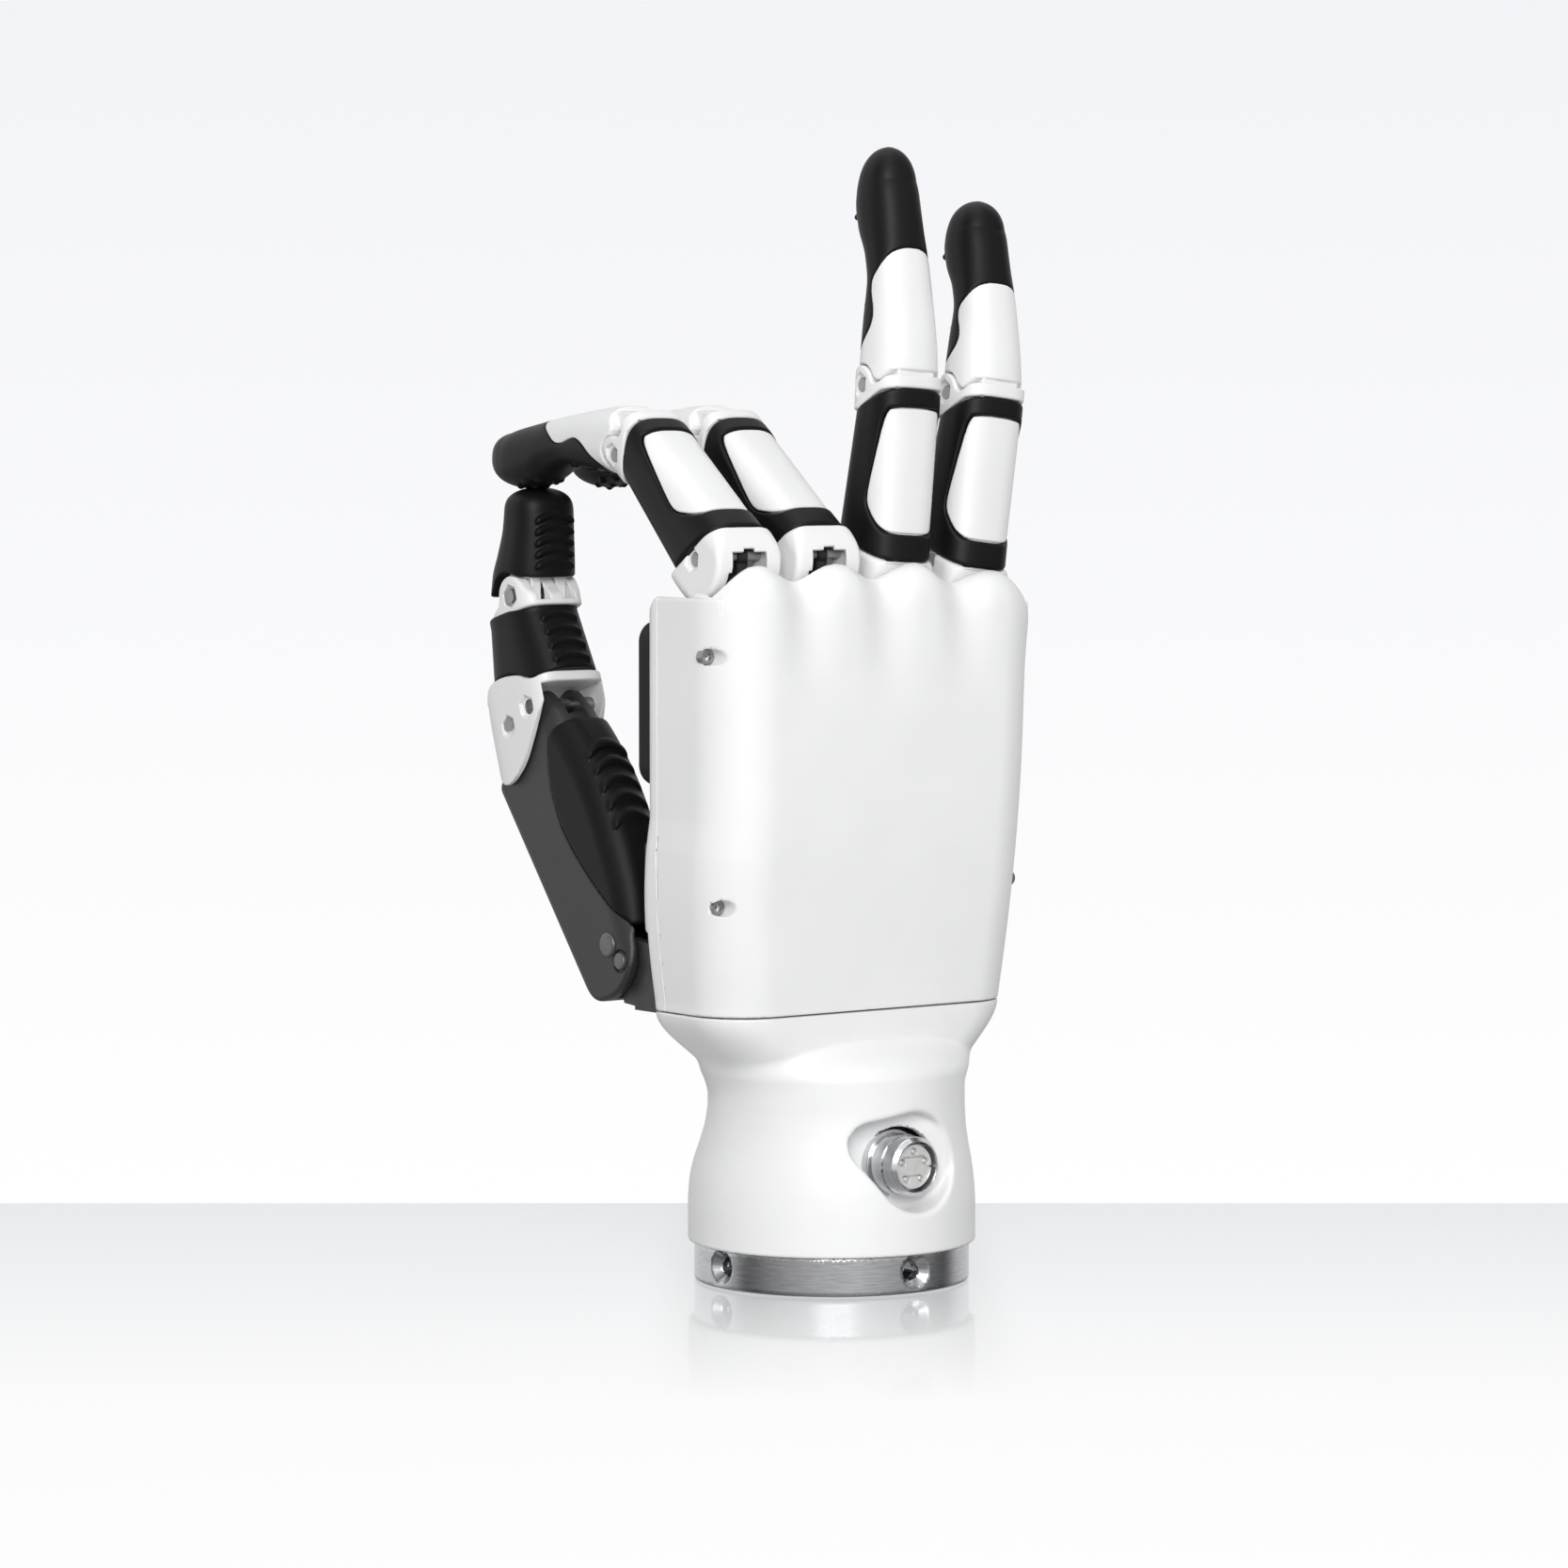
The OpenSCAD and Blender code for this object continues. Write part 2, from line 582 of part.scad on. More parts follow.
pad_x1 = 28;
pad_z0 = 92;
pad_z1 = 123;
pad_pin_r = 1.2;
pad_pins_x = [-24, 20];
pad_pins_z = [98, 117];

pad_corner = 4;
pad_y = palm_front + fit;
module pad_slab(inset, h) translate([0, pad_y, 0]) rotate([-90, 0, 0]) linear_extrude(h) hull()
    for (x = [pad_x0 + pad_corner, pad_x1 - pad_corner], z = [pad_z0 + pad_corner, pad_z1 - pad_corner])
        translate([x, -z]) circle(r = pad_corner - inset, $fn = 32);
module palm_pad() color(black) {
    pad_slab(0, pad_t - 1);
    translate([0, pad_t - 1 - eps, 0]) pad_slab(1, 1);
    for (x = pad_pins_x, z = pad_pins_z) translate([x, pad_y - wall - 1, z]) rotate([-90, 0, 0])
        cylinder(r = pad_pin_r, h = wall + 1.5, $fn = 24);
}

module shell_screws() color(dark) side_screw_places() {
    head_h = 0.85;
    translate([0, 0, screw_sink + fit]) difference() {
        cylinder(r = screw_head_r, h = head_h, $fn = 32);
        translate([0, 0, head_h - 0.5]) cylinder(r = 0.9, h = 2, $fn = 6);
    }
    translate([0, 0, screw_sink - 3.1]) cylinder(r = screw_hole_r - fit, h = 3.2, $fn = 32);
}

// ---- Finger pieces, in the finger's own frame ----

function finger_ring(z0, z1, count, front, back, grow) = [
    for (p = oval(finger_w / 2 + grow, back + grow, front + grow, 3, count))
        let (t = (p[1] + back) / (front + back)) [p[0], p[1], mix(z1, z0, t)]
];

// Outer form of the first segment; its ends slope from the palm side to the back
module segment_form(grow, low_front, low_back, high_front, high_back) {
    steps = 4;
    loft([for (k = [0:steps]) let (t = k / steps)
        finger_ring(mix(low_front, high_front, t), mix(low_back, high_back, t), 24,
                    mix(front_low, front_high, t) , mix(back_low, back_high, t), grow)]);
}

// Frame inside the sleeve
module core_form(c, top) loft([for (r = [[-2, 4.6], [4, core_front_low], [top, core_front_high]])
    [for (p = oval(core_half + c, core_back + c, r[1] + c, 3, 24)) [p[0], p[1], r[0]]]]);

module finger_frame(i) color(white) at_finger(i) {
    cheek_line = concat(arc(0, 0, knuckle_disc_r, -168, 30, 26),
        [[front_low + 0.25, sleeve_low_front - fit], [-back_low - 0.1, sleeve_low_back - fit]]);
    head_line = concat([[-back_high - 0.2, sleeve_high_back + fit], [-back_high - 0.2, band_top],
        [-7.2, band_top], [-5.4, link_len + 0.3], [-4.2, link_len + 0.6]],
        arc(0, link_len, ear_r, 150, -10, 14), [[front_high + 0.2, sleeve_high_front + fit]]);
    difference() {
        union() {
            intersection() {
                side_plate(cheek_line, finger_w);
                translate([0, 0, -10]) linear_extrude(20) offset(r = 4) square([finger_w - 8, 2 * back_low - 8], center = true);
            }
            core_form(0, link_len - 1);
            intersection() {
                side_plate(head_line, finger_w);
                loft([for (z = [20, 45]) [for (p = oval(finger_w / 2, back_high, ear_r + 0.4, 3, 32)) [p[0], p[1], z]]]);
            }
        }
        // fork round the palm's lugs and the push rod
        side_plate(concat([[-core_back + 1.1, 4.4], [12, 4.4], [12, -12], [-12.8, -9.64]],
                          arc(0, 0, knuckle_disc_r - 0.7, 217, 184, 10)), fork_gap);
        // channel for the coupling link
        side_plate([[-core_back + 1, 4], [-core_back + 1, 40], [10, 40], [10, 4]], 2 * link_half + 1);
        // well for the end link's drum
        cross_pin(0, link_len, drum_r + gap, fork_gap / 2);
        translate([-fork_gap / 2, -drum_r, link_len]) cube([fork_gap, 30, 10]);
        cross_pin(0, 0, pin_r + fit / 2, finger_w);
        cross_pin(0, link_len, pin_r + fit / 2, finger_w);
        cross_pin(-lever, -lever, lever_pin_r + fit / 2, pin_half - 1);
        hex_sockets(0, 0, finger_w / 2);
        hex_sockets(0, link_len, finger_w / 2);
    }
}

cap_top = link_len - 4;
module cap_zone(c) intersection() {
    side_plate([[-14, 3.6 - c], [-6.4, 4.4 - c], [-4.6 + c, 8], [-3.8 + c, 12.4], [-4.6 + c, 17],
                [-6.6 + c, cap_top - 3], [-7.6, cap_top + c], [-14, cap_top + 0.4 + c]], finger_w + 4);
    front_plate([[-5 - c, 3 - c], [-8.5, 7], [-8.5, 18], [-5.7 - c, cap_top + 1], [5.7 + c, cap_top + 1],
                 [8.5, 18], [8.5, 7], [5 + c, 3 - c]], 40);
}

module finger_sleeve(i) color(black) at_finger(i) difference() {
    segment_form(0, sleeve_low_front, sleeve_low_back, sleeve_high_front, sleeve_high_back);
    core_form(fit, link_len + 3);
    cross_pin(0, link_len, drum_r + gap, fork_gap / 2);
    cross_pin(0, 0, lug_reach + gap, fork_gap / 2);
    cap_zone(fit);
}

module finger_cap(i) color(white) at_finger(i) difference() {
    intersection() {
        segment_form(0, sleeve_low_front, sleeve_low_back, sleeve_high_front, sleeve_high_back);
        cap_zone(0);
    }
    core_form(fit, link_len + 3);
}

module finger_pins(i) color(metal) at_finger(i) {
    cross_pin(0, 0, pin_r, pin_half);
    cross_pin(0, link_len, pin_r, pin_half);
    cross_pin(-lever, -lever, lever_pin_r, pin_half - 1);
}

function rod_lift(i) = rod_gain * bend[i] * PI / 180 + rod_offset;

module finger_rod(i) color(dark) at_palm(i) translate([0, rod_y, rod_lift(i)]) {
    eye_r = 1.7;
    slot_r = lever_pin_r + 0.25;
    slot_half = 0.55;
    bottom = rod_bottom - rod_offset;
    top = rod_top - rod_offset + 1;
    difference() {
        union() {
            for (s = [-1, 1]) cross_pin(s * slot_half, 0, eye_r, link_half);
            cube([2 * link_half, 2 * slot_half, 2 * eye_r], center = true);
            translate([-link_half, -1.6, top - 1]) cube([2 * link_half, 3.2, 1 - top]);
            translate([0, 0, bottom]) cylinder(r = rod_r, h = top - bottom);
            translate([0, 0, bottom]) cylinder(r = rod_r + 1.2, h = 4);
        }
        for (s = [-1, 1]) cross_pin(s * slot_half, 0, slot_r, 5);
        cube([10, 2 * slot_half, 2 * slot_r], center = true);
        translate([0, 0, bottom - 1]) cylinder(r = screw_r + run, h = screw_top - rod_bottom + 3);
    }
}

module finger_link(i) color(metal) at_palm(i) translate([0, link_a[0], link_a[1]])
    rotate([-link_start - link_gain * bend[i], 0, 0]) difference() {
        union() {
            cross_pin(0, 0, 1.7, link_half);
            cross_pin(0, link_bar_len, link_pin_r + link_slack + 0.5, link_half);
            translate([-link_half, -0.8, 0]) cube([2 * link_half, 1.6, link_bar_len]);
        }
        cross_pin(0, 0, link_pin_r + run, 5);
        cross_pin(0, link_bar_len, link_pin_r + link_slack + run, 5);
    }

// Outer form of the end link, from the middle joint to the rounded tip.
// Heights are shares of the tip's length; the rest are reaches in millimetres.
end_rows = [
    [0.00, 7.3, 9.2, 4.0], [0.12, 7.1, 8.8, 4.0], [0.28, 6.7, 7.6, 3.8], [0.42, 6.2, 6.3, 3.5],
    [0.54, 5.9, 5.2, 4.9], [0.66, 5.7, 3.9, 7.9], [0.77, 5.5, 2.7, 9.2], [0.86, 5.2, 1.6, 9.1],
    [0.93, 4.4, 0.2, 8.3], [0.98, 3.0, -1.6, 6.9], [1.00, 1.2, -3.2, 5.2]
];
module end_form(i, grow) loft([for (r = end_rows)
    [for (p = oval(r[1] + grow, r[2] + grow, r[3] + grow, 2.5, 24)) [p[0], p[1], r[0] * tip_len[i]]]]);

// Palm-side region of the end link that the rubber pad fills
function pad_region(i) = let (k = tip_len[i] / ring_tip_len) [
    [-14, 28.5 * k], [-6.5, 28 * k], [-3.9, 24.6 * k], [-1.8, 21.5 * k], [-0.7, 19.5 * k],
    [-1.6, 15 * k], [-2.3, 12.8 * k], [-1.3, 10.2 * k], [1.1, 7.4 * k], [3.1, 4.7], [16, 4.2],
    [16, 60], [-14, 60]
];

module end_core() {
    // drum that turns in the first segment's well
    difference() {
        union() {
            side_plate(concat([[0, 4], [-drum_r, 4]], arc(0, 0, drum_r, 180, 236, 10),
                              arc(0, 0, 3.4, 250, 360, 10), [[3.4, 4]]), 2 * tongue_half);
        }
        side_plate([[-12, 1.6], [6, 1.6], [6, -12], [-12, -12]], 2 * link_half + 0.8);
    }
    cross_pin(link_b[0], link_b[1], link_pin_r, tongue_half - 0.5);
}

module finger_end(i) color(white) at_end(i) difference() {
    union() {
        difference() {
            end_form(i, 0);
            side_plate(pad_region(i), 30);
            // lower edge: clear of the first segment's band and ears
            side_plate(concat([[-14, -1], [-14, 2 + gap], [-7.1, 2 + gap], [-5.2, 1], [-4.1, 1.3]],
                              arc(0, 0, ear_r + gap, 150, 0, 12), [[16, 0], [16, -1]]), 30);
        }
        end_core();
    }
    cross_pin(0, 0, pin_r + run, 10);
    side_plate([[-drum_r - 0.4, 1.4], [-drum_r - 0.4, 2.4], [4, 2.4], [4, 1.4]], 2 * link_half + 0.8);
}

module finger_pad(i) color(black) at_end(i) intersection() {
    difference() {
        end_form(i, 0);
        cross_pin(0, 0, ear_r + gap, 20);
    }
    translate([0, fit, fit]) side_plate(pad_region(i), 30);
}

// ---- Thumb ----

mount_w = 14;
mount_z = 66.6;
mount_h = 16;
mount_y1 = thumb_yaw_y + 4.6;
yaw_shaft_r = 2.5;
hub_r = 4.6;
hub_z0 = 50.6;
floor_t = 2;
yaw_motor_r = 4.2;

module thumb_mount() color(dark) difference() {
    union() {
        translate([thumb_x - mount_w / 2, 8.2, mount_z]) cube([mount_w, mount_y1 - 8.2 - 3, mount_h]);
        translate([thumb_x, thumb_yaw_y, mount_z]) cylinder(r = mount_y1 - thumb_yaw_y, h = mount_h);
    }
    translate([thumb_x, thumb_yaw_y, mount_z - 1]) cylinder(r = yaw_shaft_r + run, h = 7);
    translate([thumb_x, thumb_yaw_y, mount_z + 5]) cylinder(r = yaw_motor_r - 0.6 + fit, h = 20);
}
module thumb_motor() color(metal) translate([thumb_x, thumb_yaw_y, mount_z + 5.3])
    cylinder(r = yaw_motor_r - 0.6, h = 17);

cheek_half = thumb_w / 2 - 2.2 - gap;
module thumb_swivel() color(dark) difference() {
    union() {
        translate([thumb_x, thumb_yaw_y, hub_z0]) cylinder(r = hub_r, h = mount_z - gap - hub_z0);
        translate([thumb_x, thumb_yaw_y, hub_z0]) cylinder(r = yaw_shaft_r, h = mount_z + 4 - hub_z0);
        translate([thumb_x - cheek_half, thumb_yaw_y, hub_z0]) cube([2 * cheek_half, 9, floor_t]);
        intersection() {
            translate([thumb_x - cheek_half, thumb_yaw_y, hub_z0])
                cube([2 * cheek_half, 20, thumb_root_z - hub_z0 + 5]);
            union() {
                translate([thumb_x, thumb_root_y, thumb_root_z]) rotate([0, 90, 0])
                    cylinder(r = 4.4, h = 20, center = true);
                side_plate_at(thumb_x, [[thumb_yaw_y, hub_z0], [thumb_root_y + 2, hub_z0 + 1],
                    [thumb_root_y + 4.3, thumb_root_z - 1], [thumb_root_y, thumb_root_z + 4.4],
                    [thumb_yaw_y, thumb_root_z + 3]], 20);
            }
        }
    }
    translate([thumb_x - cheek_half + 2, thumb_yaw_y + hub_r + 1, hub_z0 + floor_t])
        cube([2 * cheek_half - 4, 20, 30]);
    translate([thumb_x, thumb_root_y, thumb_root_z]) cross_pin(0, 0, thumb_pin_r + run, 20);
}
module side_plate_at(x, points, w) translate([x, 0, 0]) side_plate(points, w);

module thumb_root_pin() color(metal) at_root() {
    cross_pin(0, 0, thumb_pin_r, thumb_w / 2);
    for (s = [-1, 1]) translate([s * (thumb_w / 2 + 0.35), 0, 0]) rotate([0, 90, 0])
        cylinder(r = 2.4, h = 0.7, center = true, $fn = 32);
}

// First link: outline of its sides in its own frame, back to the right
back_line_pts = [[-6.2, 4.5], [-6.8, 12], [-6.6, 32], [-5.6, 46], [-4.6, 51.5], [-3, 56], [0, 58.6],
                 [3.4, 57.4], [6, 53], [11, 50.6], [17.4, 47.6], [18.4, 45.5], [16.6, 33], [12.6, 3],
                 [12, -2], [9.6, -5], [5, -5.6], [0, -5.2], [-4, -3.2], [-5.6, 0]];
module thumb_housing() color("#4c4d50") at_root() difference() {
    intersection() {
        side_plate(back_line_pts, thumb_w);
        // rounded back edge
        translate([0, 0, -10]) rotate([0, 0, 0]) loft([
            for (r = [[0, 15.4], [8, 15.4], [56, 20.6], [80, 20.6]])
                [for (p = oval(thumb_w / 2, 9, r[1] + 0.2, 5, 32)) [p[0], p[1], r[0]]]]);
    }
    // fork for the swivel
    side_plate([[-10, -8], [-10, 9], [2, 9], [7, 5], [7, -5], [3, -8]], 2 * (cheek_half + gap));
    cross_pin(0, 0, thumb_pin_r + fit / 2, 20);
    cross_pin(0, thumb_len_1, thumb_pin_r + run, 20);
    // slot of the push link in the upper end
    side_plate([[-8, 44], [-8, 60], [14, 60], [10, 44]], 4.2);
    // seat of the ribbed cover
    side_plate([[-9, 10], [-9, 45], [-5.4, 45], [-6.2, 10]], 30);
}

// Soft cover on the palm side of the first link, with grip ribs
module thumb_cover() color(black) at_root() difference() {
    loft([for (k = [0:6]) let (z = mix(10.2, 44.8, k / 6), s = sin(180 * (0.12 + 0.8 * k / 6)))
        [for (p = oval(thumb_w / 2 - 0.1, 6 + 3.4 * s, -5.45 - 0.8 * (1 - k / 6), 3, 24)) [p[0], p[1], z]]]);
    for (k = [0:5]) translate([0, -9.9, 16 + 5 * k]) rotate([0, 90, 0])
        cylinder(r = 0.9, h = 8, center = true, $fn = 16);
}

hex_b = [7.6, -0.9];
module thumb_pins() color(metal) at_middle() {
    cross_pin(0, 0, thumb_pin_r, thumb_w / 2 + thumb_plate + gap - hex_depth);
    cross_pin(0, thumb_len_2, thumb_pin_r, thumb_w / 2 + thumb_plate + gap - hex_depth);
}

bracket_w = thumb_w + 2 * (thumb_plate + gap);
module thumb_bracket() color(white) at_middle() {
    plate_line = [[-4.6, 4.4], [-5, 0.5], [-4.2, -3], [-1, -5.6], [4.5, -9.2], [9.5, -14], [12.6, -15.2],
                  [14.8, -12.5], [15.4, -6], [14.4, 1], [11.5, 7], [7.5, 8.4], [4, 7.4], [1, 8.5], [-3, 6.5]];
    head_line = concat([[-5.2, 17.5]], [[6.6, 17.5]], [[9.6, 20]],
        arc(0.6, thumb_len_2, 4.4, -10, 190, 14), [[-5.2, 20]]);
    difference() {
        union() {
            difference() {
                side_plate(plate_line, bracket_w);
                side_plate([[-20, -20], [20, -20], [20, 5.6], [-20, 3.2]], thumb_w + 2 * gap);
            }
            side_plate([[-3.6, 5.8], [7.4, 6.8], [6.4, 18.6], [-2.6, 18.6]], thumb_w - 3);
            intersection() {
                side_plate(head_line, thumb_w + 1.2);
                translate([0, 2, 0]) linear_extrude(40) offset(r = 3) square([thumb_w - 4.8, 9.6], center = true);
            }
        }
        cross_pin(0, 0, thumb_pin_r + fit / 2, 20);
        cross_pin(0, thumb_len_2, thumb_pin_r + fit / 2, 20);
        hex_sockets(0, 0, bracket_w / 2);
        hex_sockets(hex_b[0], hex_b[1], bracket_w / 2);
        hex_sockets(0, thumb_len_2, thumb_w / 2 + 0.6);
        // gaps for the end link's two rollers
        for (s = [-1, 1]) translate([s * 2.9, 0, 0])
            side_plate([[-12, 18.75], [12, 18.75], [12, 40], [-12, 40]], 2.9);
    }
}

module thumb_sleeve() color(black) at_middle() difference() {
    loft([for (k = [0:3]) let (t = k / 3)
        [for (p = oval(mix(7.6, 7.2, t), mix(5.9, 4.4, t), mix(12.4, 9.8, t), 3, 24))
            let (u = (p[1] + mix(5.9, 4.4, t)) / (mix(12.4, 9.8, t) + mix(5.9, 4.4, t)))
            [p[0], p[1], mix(mix(4.9, 9.2, u), 17.4, t)]]]);
    side_plate([[-3.85, 3], [7.75, 3], [6.5, 19], [-2.7, 19]], thumb_w - 3 + 2 * fit);
    side_plate([[-6, 2], [16, 2], [16, 3], [11.8, 7.3], [7.5, 8.7], [4, 7.7], [1, 8.8], [-3, 6.8], [-6, 5]],
               30);
}

module thumb_joint_pin() color(metal) at_middle() for (s = [-1, 1])
    translate([s * (bracket_w / 2 - hex_depth + 0.25), hex_b[0], hex_b[1]]) rotate([0, 90, 0])
        cylinder(r = hex_r - 0.5, h = 0.4, center = true, $fn = 32);

module thumb_end() color(white) at_tip() {
    difference() {
        union() {
            for (s = [-1, 1]) translate([s * 2.9, 0, 0]) cross_pin(0, 0, 3.1, 1.15);
            for (s = [-1, 1]) translate([s * 2.9 - 1.15, -3, 0]) cube([2.3, 6, 6]);
            translate([-5, -3.6, 4.6]) cube([10, 9, thumb_tip_len - 9]);
        }
        cross_pin(0, 0, thumb_pin_r + run, 20);
    }
}

module thumb_pad() color(black) at_tip() difference() {
    loft([for (r = [[3.9, 7.2, 4.8, 9.0], [8, 6.9, 5.0, 7.4], [13, 6.4, 5.2, 6.0], [16, 5.6, 4.6, 5.0],
                    [18.2, 4.2, 3.2, 3.8], [thumb_tip_len, 1.8, 1.0, 1.8]])
        [for (p = oval(r[1], r[2], r[3], 2.7, 24))
            [p[0], p[1], r[0] - (r[0] < 5 ? 0.16 * p[1] : 0)]]]);
    translate([-5 - fit, -3.6 - fit, 0]) cube([10 + 2 * fit, 9 + 2 * fit, thumb_tip_len - 4.4 + fit]);
    translate([0, 0, 0]) cross_pin(0, 0, 5, 20);
}

// ---- Assembly ----

module index_frame() finger_frame(index_i);
module index_sleeve() finger_sleeve(index_i);
module index_cap() finger_cap(index_i);
module index_pins() finger_pins(index_i);
module index_rod() finger_rod(index_i);
module index_link() finger_link(index_i);
module index_end() finger_end(index_i);
module index_pad() finger_pad(index_i);
module middle_frame() finger_frame(middle_i);
module middle_sleeve() finger_sleeve(middle_i);
module middle_cap() finger_cap(middle_i);
module middle_pins() finger_pins(middle_i);
module middle_rod() finger_rod(middle_i);
module middle_link() finger_link(middle_i);
module middle_end() finger_end(middle_i);
module middle_pad() finger_pad(middle_i);
module ring_frame() finger_frame(ring_i);
module ring_sleeve() finger_sleeve(ring_i);
module ring_cap() finger_cap(ring_i);
module ring_pins() finger_pins(ring_i);
module ring_rod() finger_rod(ring_i);
module ring_link() finger_link(ring_i);
module ring_end() finger_end(ring_i);
module ring_pad() finger_pad(ring_i);
module little_frame() finger_frame(little_i);
module little_sleeve() finger_sleeve(little_i);
module little_cap() finger_cap(little_i);
module little_pins() finger_pins(little_i);
module little_rod() finger_rod(little_i);
module little_link() finger_link(little_i);
module little_end() finger_end(little_i);
module little_pad() finger_pad(little_i);

wrist_flange();
wrist_cover();
inlet_barrel();
inlet_contacts();
hand_frame();
back_shell();
palm_shell();
palm_pad();
shell_screws();
finger_motors();
lead_screws();
link_pins();
control_board();
thumb_mount();
thumb_motor();
index_frame();
index_sleeve();
index_cap();
index_pins();
index_rod();
index_link();
index_end();
index_pad();
middle_frame();
middle_sleeve();
middle_cap();
middle_pins();
middle_rod();
middle_link();
middle_end();
middle_pad();
ring_frame();
ring_sleeve();
ring_cap();
ring_pins();
ring_rod();
ring_link();
ring_end();
ring_pad();
little_frame();
little_sleeve();
little_cap();
little_pins();
little_rod();
little_link();
little_end();
little_pad();
thumb_swivel();
thumb_root_pin();
thumb_housing();
thumb_cover();
thumb_pins();
thumb_bracket();
thumb_sleeve();
thumb_joint_pin();
thumb_end();
thumb_pad();
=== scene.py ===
import json
import math
import bpy
import numpy as np
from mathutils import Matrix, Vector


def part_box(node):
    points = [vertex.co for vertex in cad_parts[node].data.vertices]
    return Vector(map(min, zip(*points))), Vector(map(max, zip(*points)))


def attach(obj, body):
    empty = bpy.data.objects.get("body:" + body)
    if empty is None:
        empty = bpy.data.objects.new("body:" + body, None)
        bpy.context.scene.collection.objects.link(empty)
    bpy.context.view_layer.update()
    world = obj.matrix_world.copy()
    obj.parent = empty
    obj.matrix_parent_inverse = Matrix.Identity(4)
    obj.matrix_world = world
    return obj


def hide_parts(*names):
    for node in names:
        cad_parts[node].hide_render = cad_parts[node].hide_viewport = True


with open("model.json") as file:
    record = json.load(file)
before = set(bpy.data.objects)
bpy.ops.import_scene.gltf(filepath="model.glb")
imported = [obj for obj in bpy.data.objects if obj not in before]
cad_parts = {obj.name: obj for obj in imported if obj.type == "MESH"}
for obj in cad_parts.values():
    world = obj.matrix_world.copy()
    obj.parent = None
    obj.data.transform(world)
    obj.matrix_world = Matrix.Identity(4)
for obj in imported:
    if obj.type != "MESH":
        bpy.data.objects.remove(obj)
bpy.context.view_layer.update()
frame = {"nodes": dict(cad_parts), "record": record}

import openvdb as vdb
from mathutils import Matrix, Vector
from numpy import clip, hypot, maximum, minimum


# ---- wrist flange
# A turned aluminium ring with a socket below and a lip that the wrist cover slips over. Four radial
# clamp screws run into its countersunk holes.
def lin(hex_colour):
    """sRGB hex to linear RGBA."""
    out = []
    for k in (0, 2, 4):
        c = int(hex_colour[k:k + 2], 16) / 255
        out.append(c / 12.92 if c <= 0.04045 else ((c + 0.055) / 1.055) ** 2.4)
    return (*out, 1.0)


def add(tree, kind, inputs=(), **settings):
    """Add a node with its settings. An input is a value, an output, or a node for its first output."""
    node = tree.nodes.new(kind)
    for key, value in settings.items():
        setattr(node, key, value)
    for key, value in dict(inputs).items():
        if isinstance(value, bpy.types.Node):
            value = value.outputs[0]
        if isinstance(value, bpy.types.NodeSocket):
            tree.links.new(value, node.inputs[key])
        else:
            node.inputs[key].default_value = value
    return node


def linked(name, data):
    ob = bpy.data.objects.new(name, data)
    bpy.context.scene.collection.objects.link(ob)
    return ob


def empty_material(name):
    made = bpy.data.materials.new(name)
    made.use_nodes = True
    made.node_tree.nodes.clear()
    return made, made.node_tree


def material(name, light, dark, rough=0.4, spread=0.05, metal=0.0, patch=60.0, bump=0.05, grain=900.0,
             stretch=(1, 1, 1), spec=0.5):
    """Surface with a slow colour drift, uneven gloss and a fine grain. Patch and grain are per metre."""
    made, tree = empty_material(name)
    where = add(tree, "ShaderNodeMapping", {"Vector": add(tree, "ShaderNodeTexCoord").outputs["Object"],
                                            "Scale": stretch})
    drift = add(tree, "ShaderNodeTexNoise", {"Vector": where, "Scale": patch, "Detail": 4})
    tint = add(tree, "ShaderNodeValToRGB", {"Fac": drift})
    for stop, position, colour in zip(tint.color_ramp.elements, (0.3, 0.7), (dark, light)):
        stop.position = position
        stop.color = lin(colour)
    gloss = add(tree, "ShaderNodeMapRange",
                {"Value": drift, "To Min": rough - spread, "To Max": rough + spread})
    fine = add(tree, "ShaderNodeTexNoise", {"Vector": where, "Scale": grain, "Detail": 3})
    relief = add(tree, "ShaderNodeBump", {"Height": fine, "Strength": bump, "Distance": 0.0002})
    shader = add(tree, "ShaderNodeBsdfPrincipled", {"Base Color": tint, "Roughness": gloss,
                  "Normal": relief, "Metallic": metal, "Specular IOR Level": spec})
    add(tree, "ShaderNodeOutputMaterial", {"Surface": shader})
    return made


# Turned aluminium: the lathe's fine rings stretch the highlights round the edge, with a silver grey cast
ALUMINIUM = material("turned_aluminium", "c9cacc", "b4b5b8", rough=0.24, metal=1.0, patch=300, bump=0.05,
                     grain=1800, stretch=(1, 1, 12))


def smin(a, b, k):
    """Union of two distances, blended over a width of k."""
    h = maximum(k - abs(a - b), 0.0) / k
    return minimum(a, b) - h * h * k * 0.25


def smax(a, b, k):
    return -smin(-a, -b, k)


def step(full):
    """Grid step in mm: the full step as given, for every piece."""
    return full


